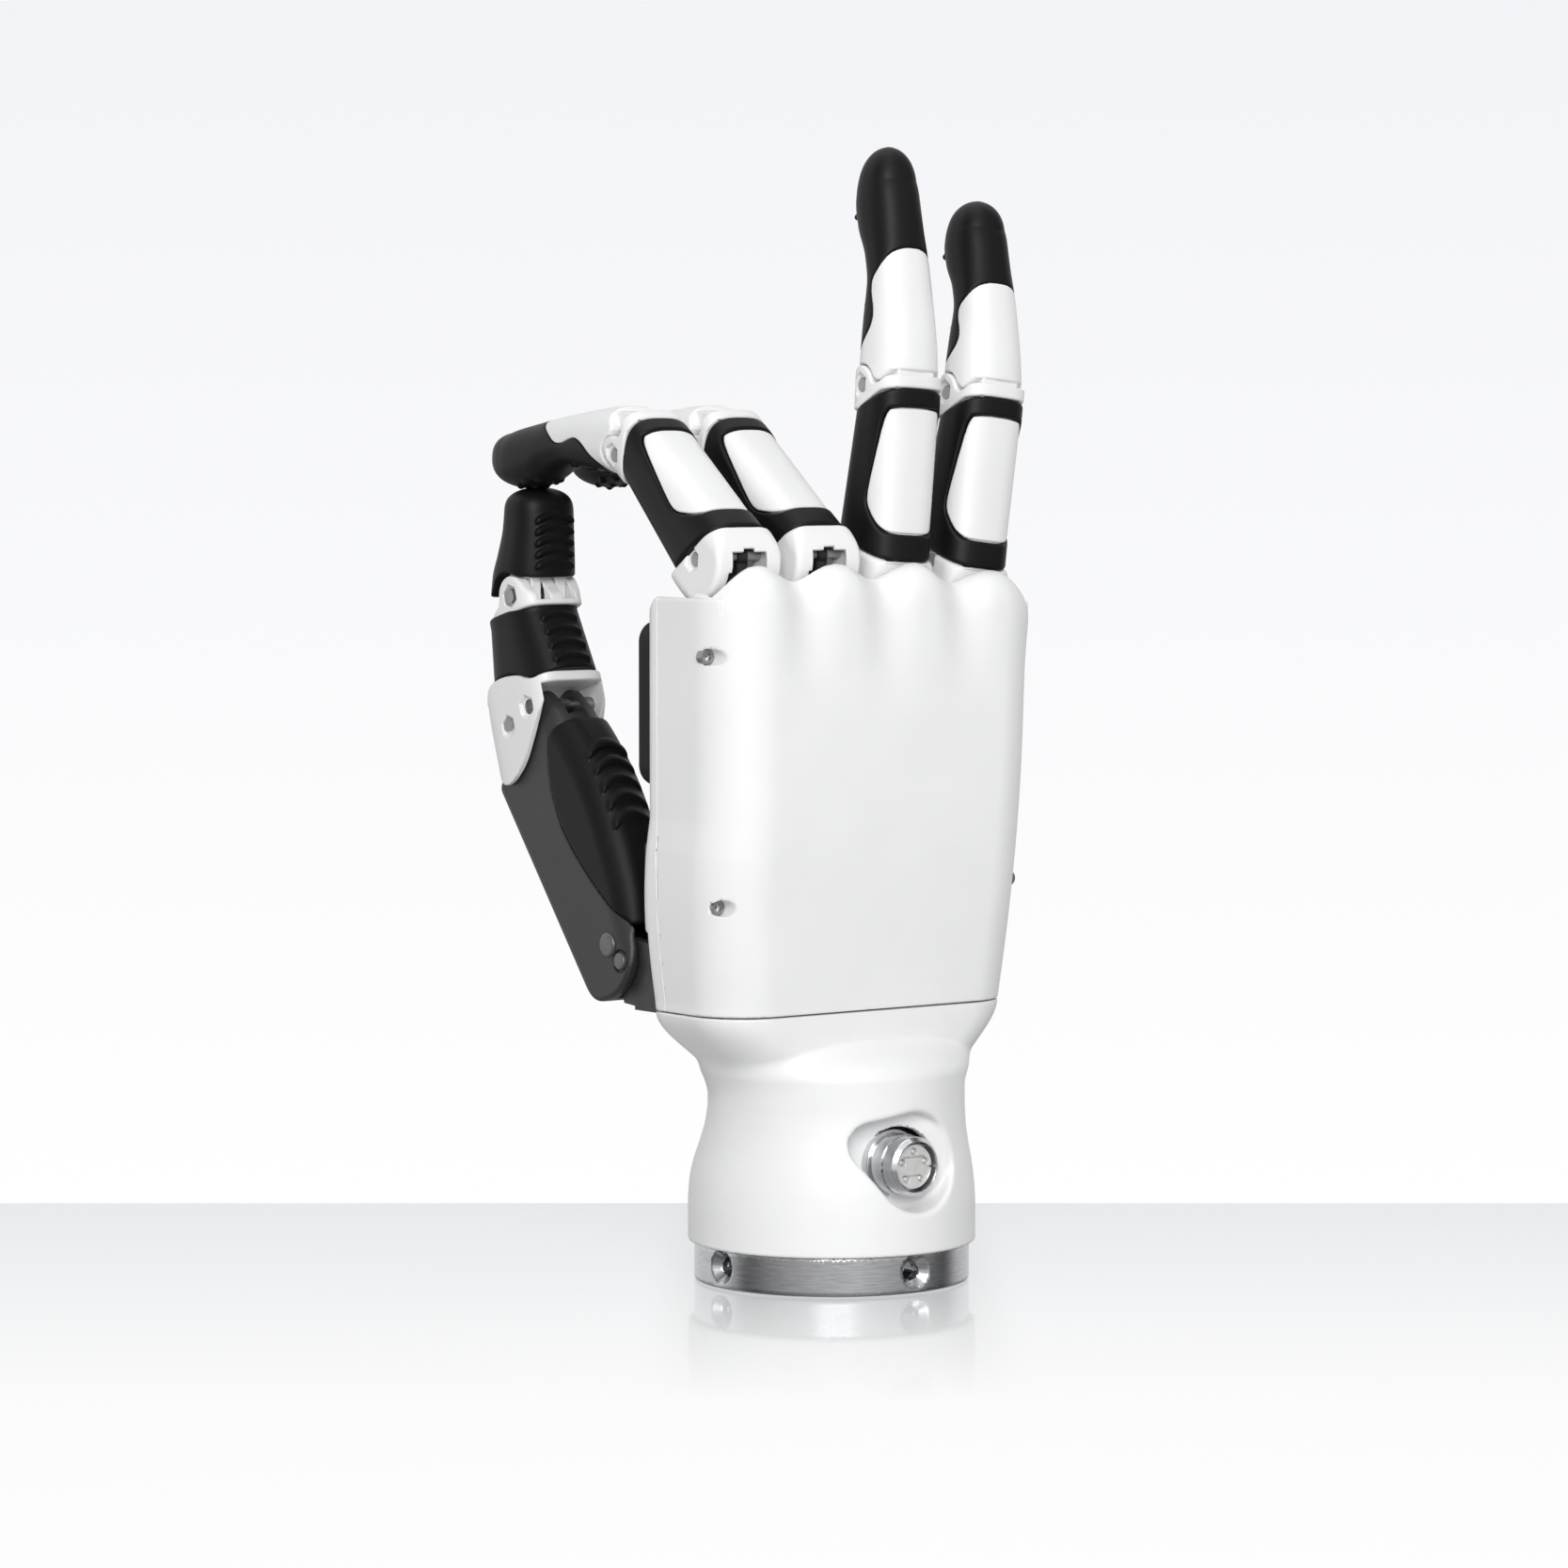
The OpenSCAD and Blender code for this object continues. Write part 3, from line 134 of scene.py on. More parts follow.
def solid(fun, lo, hi, h):
    """Vertices (mm), faces and normals of the surface where fun is zero."""
    lo, hi = np.array(lo, float), np.array(hi, float)
    n = np.ceil((hi - lo) / h).astype(int) + 1
    ax = [lo[i] + h * np.arange(n[i]) for i in range(3)]
    x, y, z = np.meshgrid(*ax, indexing="ij", sparse=True)
    f = np.broadcast_to(fun(x, y, z), tuple(n)).astype(np.float32)
    band = 2.5 * h
    grid = vdb.FloatGrid(band)
    grid.copyFromArray(clip(f, -band, band))
    grid.transform = vdb.createLinearTransform(voxelSize=h)
    v, q = grid.convertToQuads(isovalue=0)[:2]
    v = np.asarray(v, float) + lo
    # two steps draw the vertices onto the true surface; the third gradient gives the normals
    e = 0.02
    for k in range(3):
        grad = np.stack([fun(*(v + e * d).T) - fun(*(v - e * d).T) for d in np.eye(3)], 1) / (2 * e)
        if k < 2:
            off = fun(v[:, 0], v[:, 1], v[:, 2]) / maximum((grad ** 2).sum(1), 0.05)
            v = v - clip(off, -0.4 * h, 0.4 * h)[:, None] * grad
    q = np.asarray(q)
    n = grad / np.sqrt((grad ** 2).sum(1) + 1e-9)[:, None]
    face = np.cross(v[q[:, 2]] - v[q[:, 0]], v[q[:, 3]] - v[q[:, 1]])
    if (face * n[q[:, 0]]).sum() < 0:
        q = q[:, ::-1]
    return v, q, n


def piece(name, data, finish, node, body="palm", place=None):
    """Mesh object that stands for one solid. Data is in mm, place is a matrix in metres."""
    verts, quads, normals = data
    verts = verts * 0.001
    if place is not None:
        m = np.array(place)
        verts = verts @ m[:3, :3].T + m[:3, 3]
        normals = normals @ m[:3, :3].T
    mesh = bpy.data.meshes.new(name)
    mesh.from_pydata(verts.tolist(), [], quads.tolist())
    mesh.update()
    mesh.polygons.foreach_set("use_smooth", [True] * len(mesh.polygons))
    mesh.normals_split_custom_set_from_vertices(normals.tolist())
    mesh.materials.append(finish)
    ob = linked(name, mesh)
    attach(ob, body)
    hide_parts(node)


GRID = step(0.55)
RING_R, RING_TOP = 26.0, 7.25
LIP_R, LIP_TOP = 23.9, 12.9
SOCKET_R, SOCKET_DEEP, CABLE_R = 20.0, 11.0, 15.0
CLAMP_Z, CLAMP_R, SINK_R = 4.0, 1.6, 3.2


def flange_fun(x, y, z):
    r = hypot(x, y)
    ring = smax(r - RING_R, -z, 0.5)
    ring = smax(ring, z - RING_TOP, 0.3)
    lip = maximum(maximum(r - LIP_R, z - LIP_TOP), 2 - z)
    d = minimum(ring, lip)
    d = smax(d, -maximum(r - SOCKET_R, z - SOCKET_DEEP), 0.4)
    d = maximum(d, CABLE_R - r)
    for a, b in ((x, y), (y, x)):
        for s in (-1, 1):
            rr = hypot(b, z - CLAMP_Z)
            d = smax(d, -maximum(rr - CLAMP_R, 5 - s * a), 0.15)
            cone = rr - clip(1.7 + (s * a - 24.2) * 0.95, 1.7, SINK_R)
            d = smax(d, -maximum(cone * 0.75, 23 - s * a), 0.15)
    return d


piece("flange_ring", solid(flange_fun, (-27, -27, -1), (27, 27, 14), GRID), ALUMINIUM,
      "wrist_flange")


# ---- wrist cover
# One thin ABS moulding that slips over the lip of the ring and swells to the section of the palm. Its
# dished seat tapers to one side so that a plug can be turned in.
# Moulded ABS with a satin tool finish: soft wide highlights, almost no grain
WHITE_ABS = material("satin_white_abs", "f4f4f4", "f0f0f0", rough=0.38, spread=0.03, bump=0.03, grain=2500)


def ease(t):
    t = clip(t, 0.0, 1.0)
    return t * t * (3 - 2 * t)


def curve(t, knots, values):
    """Smooth curve through knots, without overshoot."""
    k = np.asarray(knots, float)
    v = np.asarray(values, float)
    h = np.diff(k)
    d = np.diff(v) / h
    m = np.zeros_like(v)
    m[0], m[-1] = d[0], d[-1]
    for i in range(1, len(k) - 1):
        if d[i - 1] * d[i] > 0:
            w1, w2 = 2 * h[i] + h[i - 1], h[i] + 2 * h[i - 1]
            m[i] = (w1 + w2) / (w1 / d[i - 1] + w2 / d[i])
    t = clip(t, k[0], k[-1])
    i = clip(np.searchsorted(k, t) - 1, 0, len(k) - 2)
    s = (t - k[i]) / h[i]
    return ((1 + 2 * s) * (1 - s) ** 2 * v[i] + s * (1 - s) ** 2 * h[i] * m[i]
            + s * s * (3 - 2 * s) * v[i + 1] + s * s * (s - 1) * h[i] * m[i + 1])


def section(x, y, x0, x1, y0, y1, rb, rf):
    """Rounded rectangle with corners of rb at the back (-y) and rf at the front."""
    cx, hx = (x0 + x1) / 2, (x1 - x0) / 2

    def half(dy, r):
        qx = abs(x - cx) - (hx - r)
        qy = dy + r
        return hypot(maximum(qx, 0), maximum(qy, 0)) + minimum(maximum(qx, qy), 0) - r
    return maximum(half(y0 - y, rb), half(y - y1, rf))


# Height of the seam to the palm and depth of the seam between its shells; the inlet's height, radius and reach
SEAM_Z, SEAM_Y = 51.9, 5.6
INLET_Z, INLET_R, INLET_END = 23.6, 5.6, 26.5


def wrist_outer(x, y, z):
    # round column that leans a little towards the inlet as it rises, under a shoulder like a flat dome
    lean = ease((z - 18.0) / 16.0)
    r = hypot(x - 0.7 * lean, y + 0.5 * lean)
    radius = curve(z, [7, 14, 18, 22, 26, 30, 34, 38, 48],
                   [27.2, 27.2, 27.0, 26.4, 25.4, 24.6, 24.3, 24.3, 24.3])
    rise = clip((z - 39.5) / 7.5, 0, 0.999)
    column = maximum(r - radius * np.sqrt(1 - rise ** 2), z - 47)
    t = ease((SEAM_Z - z) / 15.0)
    flare = section(x, y, -34.5 + 13.0 * t, 34.5 - 8.0 * t, -14.2 + 1.5 * t, 12.2 + 2.0 * t, 11.0,
                    5.0 + 3.0 * t)
    return smin(column * 0.9, flare * 0.85 + 7.0 * ease((40.0 - z) / 10.0), 5.0)


def tear(x, z, a, ra, b, rb):
    """A round seat at a that tapers to a small round at b."""
    h = math.hypot(b[0] - a[0], b[1] - a[1])
    ux, uz = (b[0] - a[0]) / h, (b[1] - a[1]) / h
    along = (x - a[0]) * ux + (z - a[1]) * uz
    across = abs((x - a[0]) * uz - (z - a[1]) * ux)
    sin = (ra - rb) / h
    cos = math.sqrt(1 - sin * sin)
    k = cos * along - sin * across
    side = cos * across + sin * along - ra
    return np.where(k < 0, hypot(along, across) - ra,
                    np.where(k > cos * h, hypot(along - h, across) - rb, side))


def cover_fun(x, y, z):
    out = wrist_outer(x, y, z)
    d = smax(out, 7.3 - z, 0.6)
    d = smax(d, z - (SEAM_Z - 0.14), 0.3)
    # dished seat of the inlet: upright walls, and a floor that climbs towards the inlet's far side
    zr = z - INLET_Z
    seat = tear(x, zr, (0.6, 0.7), 9.2, (-7.5, 3.9), 4.6)
    floor = -curve(x, [-16, -12, -8, -4, 0, 4, 9], [19.0, 18.2, 17.4, 18.2, 19.8, 21.6, 23.6])
    hollow = maximum(out + 2.0, -maximum(seat - 1.6, y - floor - 1.8))
    d = smax(d, -hollow, 0.3)
    d = smax(d, -smax(seat, y - floor, 1.0), 1.2)
    return maximum(d, -maximum(hypot(x - 0.6, zr - 1.0) - 5.9, maximum(y + 10, -24 - y)))


piece("wrist_cover_moulding", solid(cover_fun, (-36, -28.5, 6), (36, 28.5, 53), GRID), WHITE_ABS,
      "wrist_cover")


# ---- cable inlet
# A round chassis connector of plated brass with a stepped collar, screwed through the cover from inside.
# Five contact pins stand in a ring on its insulator, which has one key.
# Nickel-plated brass shell: bright, with sharp bands from the studio
PLATED_SHELL = material("nickel_plated_brass", "e2e3e6", "c8c9cc", rough=0.16, metal=1.0, patch=250, bump=0.02)
# Contacts and their seat: duller plating inside the shell
PLATED_CONTACTS = material("silver_plated_contacts", "f0f0ee", "dcdcda", rough=0.3, metal=0.4, patch=400,
                           bump=0.03)


def rect(u, v, hu, hv, r=0.0):
    qu, qv = abs(u) - hu + r, abs(v) - hv + r
    return minimum(maximum(qu, qv), 0) + hypot(maximum(qu, 0), maximum(qv, 0)) - r


def barrel_fun(x, y, z):
    r = hypot(x, z - INLET_Z)
    back = INLET_END + y
    d = maximum(smax(r - INLET_R, -back, 0.1), back - 14)
    d = smax(d, (r - INLET_R + 1.0 - back) * 0.7, 0.1)
    # two collars, the bore and a snap groove
    d = minimum(d, smax(r - INLET_R - 0.18, abs(back - 5.5) - 1.6, 0.12))
    d = minimum(d, smax(r - 6.4, abs(back - 9.2) - 2.0, 0.3))
    d = smax(d, -maximum(r - 4.65, back - 9.5), 0.12)
    return maximum(d, -maximum(abs(back - 3.7) - 0.12, INLET_R - 0.3 - r))


piece("inlet_shell", solid(barrel_fun, (-9, -27.2, 14), (9, -11, 34), step(0.2)), PLATED_SHELL,
      "inlet_barrel")
# Contact pins, in metres, and the angle of the first one
PIN_COUNT, PIN_RING, PIN_R, PIN_LEN, PIN_TURN = 5, 0.0028, 0.00045, 0.0062, math.radians(18)


def contact_fun(x, y, z):
    back, zr = INLET_END + y, z - INLET_Z
    d = maximum(hypot(x, zr) - 4.15, abs(back - 6.0) - 4.8)
    for k in range(PIN_COUNT):
        a = PIN_TURN + 2 * math.pi * k / PIN_COUNT
        socket = hypot(x - PIN_RING * 1000 * math.cos(a), zr - PIN_RING * 1000 * math.sin(a)) - 0.72
        d = maximum(d, -maximum(socket, back - 2.6))
    for zc in (1.75, -1.75):
        d = smax(d, -maximum(rect(x, zr - zc, 2.6, 0.16, 0.1), back - 1.7), 0.1)
    key = rect(x - 4.0, zr + 0.2, 0.9, 0.16, 0.1)
    return maximum(d, -maximum(key, back - 1.8))


piece("inlet_insert", solid(contact_fun, (-5.2, -26.5, 18), (5.2, -14, 30), step(0.16)),
      PLATED_CONTACTS, "inlet_contacts")


def grown(name, seed_mesh, tree, sizes):
    """Run a node tree on a small mesh and keep what it makes as a plain mesh object."""
    ob = linked(name, seed_mesh)
    run = ob.modifiers.new("grow", "NODES")
    run.node_group = tree
    for item in tree.interface.items_tree:
        if item.name in sizes:
            run[item.identifier] = sizes[item.name]
    graph = bpy.context.evaluated_depsgraph_get()
    plain = bpy.data.meshes.new_from_object(ob.evaluated_get(graph), depsgraph=graph)
    ob.modifiers.clear()
    ob.data = plain
    return ob


def node_tree(name, *sizes):
    """Empty geometry tree with a mesh input and named sizes in metres."""
    tree = bpy.data.node_groups.new(name, "GeometryNodeTree")
    tree.interface.new_socket("Seats", in_out="INPUT", socket_type="NodeSocketGeometry")
    for size in sizes:
        tree.interface.new_socket(size, in_out="INPUT", socket_type="NodeSocketFloat")
    tree.interface.new_socket("Made", in_out="OUTPUT", socket_type="NodeSocketGeometry")
    return tree, add(tree, "NodeGroupInput").outputs


def on_top(tree, mesh, height):
    half = add(tree, "ShaderNodeMath", {0: height, 1: 0.5}, operation="MULTIPLY")
    return add(tree, "GeometryNodeTransform",
               {"Geometry": mesh, "Translation": add(tree, "ShaderNodeCombineXYZ", {"Z": half})})


tree, given = node_tree("contact_pins", "Ring Radius", "Pin Radius", "Pin Length")
ring = add(tree, "GeometryNodeMeshCircle", {"Vertices": PIN_COUNT, "Radius": given["Ring Radius"]})
stem = add(tree, "GeometryNodeMeshCylinder", {"Vertices": 20, "Radius": given["Pin Radius"],
                                              "Depth": given["Pin Length"]})
knob = add(tree, "GeometryNodeMeshUVSphere", {"Segments": 20, "Rings": 10, "Radius": given["Pin Radius"]})
capped = on_top(tree, knob, given["Pin Length"])
pin = add(tree, "GeometryNodeJoinGeometry")
tree.links.new(stem.outputs[0], pin.inputs[0])
tree.links.new(capped.outputs[0], pin.inputs[0])
turned = add(tree, "GeometryNodeTransform", {"Geometry": ring, "Rotation": (0, 0, PIN_TURN)})
spread = add(tree, "GeometryNodeInstanceOnPoints", {"Points": turned, "Instance": pin})
real = add(tree, "GeometryNodeRealizeInstances", {"Geometry": spread})
seated = add(tree, "GeometryNodeTransform", {"Geometry": real, "Rotation": (math.pi / 2, 0, 0),
                                             "Translation": (0, -0.0215, INLET_Z / 1000)})
smooth = add(tree, "GeometryNodeSetShadeSmooth", {"Geometry": seated})
coloured = add(tree, "GeometryNodeSetMaterial", {"Geometry": smooth, "Material": PLATED_CONTACTS})
add(tree, "NodeGroupOutput", {"Made": coloured})
contact_pins = grown("contact_pins", bpy.data.meshes.new("pin_seed"), tree,
                     {"Ring Radius": PIN_RING, "Pin Radius": PIN_R, "Pin Length": PIN_LEN})
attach(contact_pins, "palm")


# ---- palm frame, motors and board
# A milled alloy frame stands on the flange and carries four gearmotors with lead screws, the knuckle lugs
# and the control board. These keep the solids' own shapes.
# Milled alloy frame, drawn steel motor cans, ground steel screws and pins, and a glass-epoxy board
MILLED_ALLOY = material("milled_aluminium_alloy", "a9abae", "8f9194", rough=0.35, metal=1.0, patch=200,
                        bump=0.08)
STEEL_CAN = material("drawn_steel_can", "7c7d80", "66676a", rough=0.32, metal=1.0, patch=200, bump=0.06,
                     stretch=(1, 1, 0.1))
GROUND_STEEL = material("ground_steel", "a7a7a8", "8d8e90", rough=0.28, metal=1.0, patch=400)
GREEN_LAMINATE = material("green_glass_epoxy", "1d5a3c", "134530", patch=150, bump=0.1)


def dress(finish, *nodes):
    for node in nodes:
        mesh = frame["nodes"][node].data
        mesh.materials.clear()
        mesh.materials.append(finish)


dress(MILLED_ALLOY, "hand_frame")
dress(STEEL_CAN, "finger_motors")
dress(GROUND_STEEL, "lead_screws", "link_pins")
dress(GREEN_LAMINATE, "control_board")


# ---- back shell
# The ABS shell over the back of the palm, with a crown over each knuckle and creases between them. It is
# screwed to the frame through four seats at its rounded edges.
joints = {j["name"]: j for j in frame["record"]["behaviour"]["joints"]}
FINGERS = ("index", "middle", "ring", "little")


def basis(origin, x_dir, z_dir):
    """Matrix of a piece's own axes: x across, z along it."""
    z = Vector(z_dir).normalized()
    x = Vector(x_dir).normalized()
    y = z.cross(x).normalized()
    m = Matrix((x, y, z)).transposed().to_4x4()
    m.translation = Vector(origin)
    return m


class Finger:
    """Places of one finger: knuckle, middle joint and the frames of its pieces at rest."""

    def __init__(self, name):
        self.name = name
        k, p = joints[name + "_knuckle"], joints[name + "_middle_joint"]
        axis = Vector(k["axis"])
        self.bend = -k["range_deg"][0]
        self.curl = -p["range_deg"][0] if self.bend else 0.0
        self.mcp, self.pip = Vector(k["pos_m"]), Vector(p["pos_m"])
        self.link = (self.pip - self.mcp).length * 1000
        self.first = basis(self.mcp, -axis, self.pip - self.mcp)
        at_rest = self.first.to_quaternion().to_matrix().to_4x4()
        self.end = Matrix.Translation(self.pip) @ Matrix.Rotation(math.radians(self.curl), 4, axis) @ at_rest
        self.palm = Matrix.Translation(self.mcp) @ Matrix.Rotation(math.radians(-self.bend), 4, axis) @ at_rest
        # the grip is as long as its solid; the index tip lies a little over the thumb's
        pts = np.array([v.co for v in frame["nodes"][name + "_pad"].data.vertices])
        inv = np.array(self.end.inverted())
        reach = (pts @ inv[:3, :3].T + inv[:3, 3])[:, 2].max() * 1000
        self.tip = float(reach) + (1.8 if name == "index" else 0.0)


fingers = [Finger(n) for n in FINGERS]
KNUCKLES = [np.array(f.mcp) * 1000 for f in fingers]
PITCH = KNUCKLES[1][0] - KNUCKLES[0][0]
TOP = KNUCKLES[0][2] - 1.3


def palm_sides(z):
    t = clip((z - SEAM_Z) / 30, 0, 1)
    x0 = -34.5 - 1.8 * t - 0.8 * np.sin(np.pi * clip((z - 54) / 34, 0, 1))
    x1 = 34.5 + 4.1 * np.sin(np.pi / 2 * clip((z - SEAM_Z) / 76, 0, 1)) \
        + 0.9 * np.exp(-((z - 127) / 8.0) ** 2)
    y0 = -17.2 + 3 * (1 - clip((z - SEAM_Z) / 50, 0, 1)) ** 2
    y1 = 11.5 + 1.6 * np.sin(np.pi * clip((z - 44) / 44, 0, 1))
    return x0, x1, y0, y1


def dome_wave(x):
    t = clip((x - KNUCKLES[0][0]) / PITCH, -0.5, 3.5)
    return 0.5 + 0.5 * np.cos(2 * np.pi * t)


def palm_outline(x, y, z, groove=True):
    x0, x1, y0, y1 = palm_sides(z)
    if groove:
        t = (x - KNUCKLES[0][0]) / PITCH
        crease = (0.5 - 0.5 * np.cos(2 * np.pi * clip(t, 0, 3))) ** 1.5
        y0 = y0 + 2.2 * crease * clip((z - 106) / 26, 0, 1) ** 1.5
    return section(x, y, x0, x1, y0, y1, 11.0, 5.0)


def fall(x):
    """The palm's top is lower towards the little finger."""
    return 1.8 * clip((x - KNUCKLES[2][0]) / PITCH, 0, 1)


def dome(x, y, z):
    top = TOP + 0.6 - fall(x) - 2.7 * (1 - dome_wave(x) ** 0.8)
    return smax(palm_outline(x, y, z), (z - top) * 0.9, 7.0)


def knuckle_space(x, y, z):
    d = 1e3
    for f in fingers:
        m = np.array(f.palm.inverted())
        px, py, pz = (v - at * 1000 for v, at in zip((x, y, z), f.mcp))
        lx, ly, lz = (row[0] * px + row[1] * py + row[2] * pz for row in m[:3])
        left, right = (7.75 if f is fingers[0] else 9.8), (7.75 if f is fingers[3] else 9.8)
        d = minimum(d, maximum(hypot(ly, lz) - 9.5, maximum(-left - lx, lx - right)))
    return d


# Cover screws: which edge, height, distance in from the edge, and depth of the seat
SCREWS = ((-1, 72.5, 2.6, -9.4), (-1, 118.6, 0.9, -8.2), (1, 74.5, 0.6, -8.2), (1, 118.6, 0.9, -8.2))


def screw_x(edge, z, inset):
    x0, x1, _, _ = palm_sides(z)
    return float(x0 if edge < 0 else x1) - edge * inset


def back_fun(x, y, z):
    wall_top = z - (TOP - 5.7 - fall(x))
    outline = palm_outline(x, y, z)
    flat = smax(maximum(outline, -12 - y), wall_top, 0.5)
    crown = dome(x, y, z)
    d = minimum(smax(crown, y + 4.4, 0.6), flat)
    inside = np.where(y < -4.4, crown + 2.0, outline + 2.0)
    d = smax(d, -inside, 0.3)
    d = smax(d, -knuckle_space(x, y, z), 0.6)
    d = maximum(d, y - SEAM_Y)
    d = smax(d, SEAM_Z + 0.14 - z, 0.3)
    # round seats with a boss behind each
    for edge, zc, inset, floor in SCREWS:
        r = hypot(x - screw_x(edge, zc, inset), z - zc)
        d = minimum(d, maximum(maximum(r - 2.8, outline + 0.4), y - floor - 1.2))
        d = smax(d, -smax(r - 1.5, y - floor, 0.8), 0.3)
    return d


piece("back_shell_moulding", solid(back_fun, (-40, -19, 49), (42, 7, 138), GRID), WHITE_ABS,
      "back_shell")


# ---- palm shell
# The shallow ABS shell that closes the palm side. It has an opening for the thumb's motor and a cut corner
# where the thumb swivels, and meets the back shell in a butt seam along the edge of the hand.
def front_fun(x, y, z):
    outline = palm_outline(x, y, z, False)
    top = z - (TOP - 5.7 - fall(x) - 2.2 * clip((y - SEAM_Y - 1) / 3, 0, 1))
    d = smax(outline, top, 0.8)
    d = smax(d, -(outline + 2.0), 0.3)
    d = maximum(d, SEAM_Y + 0.03 - y)
    d = smax(d, SEAM_Z + 0.14 - z, 0.3)
    opening = maximum(maximum(abs(x + 25) - 7.1, -y), maximum(66.5 - z, z - 89.6))
    corner = maximum(maximum(x + 19.8, 9.6 - y), maximum(z - 66.5, 40 - z))
    d = smax(d, -opening, 0.5)
    return smax(d, -corner, 0.5)


piece("palm_shell_moulding", solid(front_fun, (-40, 4, 49), (42, 15, 132), GRID), WHITE_ABS,
      "palm_shell")


# ---- palm grip pad
# A moulded silicone slab with shallow grooves across it, bonded to the palm shell under the fingers. It
# stands proud of the shell, so its rounded edge shows from the thumb's side.
# Black silicone rubber: dull sheen and a fine moulded grain
RUBBER = material("black_silicone_rubber", "151516", "0f0f10", rough=0.46, bump=0.06, grain=1800, spec=0.2)
PAD_LOW, PAD_HIGH = (np.array(c) * 1000 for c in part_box("palm_pad"))
PAD_LOW = PAD_LOW + np.array([-2.5, 0, 1.6])
PAD_HIGH = PAD_HIGH + np.array([2.5, 0, 1.6])
PAD_MIDDLE, PAD_HALF = (PAD_LOW + PAD_HIGH) / 2, (PAD_HIGH - PAD_LOW) / 2
GROOVE_PITCH, GROOVE_R = 5.6, 0.75


def pad_slab_fun(x, y, z):
    d = rect(x - PAD_MIDDLE[0], z - PAD_MIDDLE[2], PAD_HALF[0], PAD_HALF[2], 4.0)
    d = smax(d, y - PAD_HIGH[1], 1.2)
    for zc in np.arange(PAD_LOW[2] + 6.5, PAD_HIGH[2] - 5, GROOVE_PITCH):
        groove = hypot(z - zc, y - PAD_HIGH[1] - 0.2) - GROOVE_R
        d = smax(d, -maximum(groove, abs(x - PAD_MIDDLE[0]) - PAD_HALF[0] + 6), 0.4)
    return maximum(maximum(d, 8.5 - y), -(palm_outline(x, y, z, False) + 0.5))


piece("palm_grip_pad", solid(pad_slab_fun, (-36, 8, 90), (33, 16.5, 127), step(0.4)), RUBBER,
      "palm_pad")


# ---- cover screws
# Four small steel cap screws with hex sockets. They are sunk in the seats of the back shell, at its
# rounded edges, and pull it against the frame.
HEAD_R, HEAD_H, KEY_R = 0.0014, 0.0018, 0.0008
tree, given = node_tree("cover_screw_heads", "Head Radius", "Head Height", "Key Radius")
disc = add(tree, "GeometryNodeMeshCylinder", {"Vertices": 48, "Radius": given["Head Radius"],
                                              "Depth": given["Head Height"]})
key = add(tree, "GeometryNodeMeshCylinder", {"Vertices": 6, "Radius": given["Key Radius"],
                                             "Depth": given["Head Height"]})
raised = on_top(tree, key, given["Head Height"])
head = add(tree, "GeometryNodeMeshBoolean", {"Mesh 1": disc, "Mesh 2": raised},
           operation="DIFFERENCE", solver="EXACT")
spread = add(tree, "GeometryNodeInstanceOnPoints", {"Points": given["Seats"], "Instance": head,
                                                    "Rotation": (math.pi / 2, 0, 0)})
real = add(tree, "GeometryNodeRealizeInstances", {"Geometry": spread})
coloured = add(tree, "GeometryNodeSetMaterial", {"Geometry": real, "Material": GROUND_STEEL})
add(tree, "NodeGroupOutput", {"Made": coloured})
seats = bpy.data.meshes.new("cover_screw_seats")
seats.from_pydata([(screw_x(edge, zc, inset) / 1000, floor / 1000, zc / 1000)
                   for edge, zc, inset, floor in SCREWS], [], [])
screws = grown("cover_screws", seats, tree, {"Head Radius": HEAD_R, "Head Height": HEAD_H, "Key Radius": KEY_R})
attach(screws, "palm")
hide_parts("shell_screws")


# ---- first finger segments
# A white ABS frame makes the knuckle fork, the ears and the band of each finger's middle joint. A black
# rubber sleeve wraps it, and a white ABS cap is inset in the sleeve's back.
FINE = step(0.285)
# Length between the joints, half width, radius of the knuckle, and half width of what turns in the forks
LINK = fingers[0].link
HALF = 7.45
DISC = 8.4
FORK = 4.6


def front_reach(z):
    return np.interp(z, [4.6, LINK - 5], [7.2, 3.2])


def back_reach(z):
    return np.interp(z, [4.6, LINK - 5], [8.8, 9.2])


def poly(u, v, pts):
    d = np.full(np.broadcast(u, v).shape, 1e9)
    inside = np.zeros(d.shape, bool)
    for (ax, ay), (bx, by) in zip(pts, pts[1:] + pts[:1]):
        ex, ey = bx - ax, by - ay
        wu, wv = u - ax, v - ay
        t = clip((wu * ex + wv * ey) / (ex * ex + ey * ey + 1e-12), 0, 1)
        d = minimum(d, (wu - t * ex) ** 2 + (wv - t * ey) ** 2)
        if ay != by:
            cross = ((ay > v) != (by > v)) & (u < ax + (v - ay) * ex / ey)
            inside = inside ^ cross
    d = np.sqrt(d)
    return np.where(inside, -d, d)


def rounded(pts, n):
    out = []
    m = len(pts)
    for i in range(m):
        p0, p1, p2, p3 = (np.array(pts[(i + k) % m], float) for k in (-1, 0, 1, 2))
        for k in range(n):
            t = k / n
            out.append(tuple(0.5 * (2 * p1 + (p2 - p0) * t + (2 * p0 - 5 * p1 + 4 * p2 - p3) * t * t
                                    + (3 * p1 - p0 - 3 * p2 + p3) * t ** 3)))
    return out


def arc(cy, cz, r, a0, a1, n):
    angles = [math.radians(a0 + (a1 - a0) * k / n) for k in range(n + 1)]
    return [(cy + r * math.cos(a), cz + r * math.sin(a)) for a in angles]


def oval(x, y, half, back, front, n):
    """Distance-like value of a rounded section: reach to the back (-y) and the front (+y)."""
    c, b = (front - back) / 2, (front + back) / 2
    f = ((abs(x) / half) ** n + (abs(y - c) / b) ** n) ** (1 / n)
    return (f - 1) * minimum(half, b)


def rod(a, b, r):
    return hypot(a, b) - r


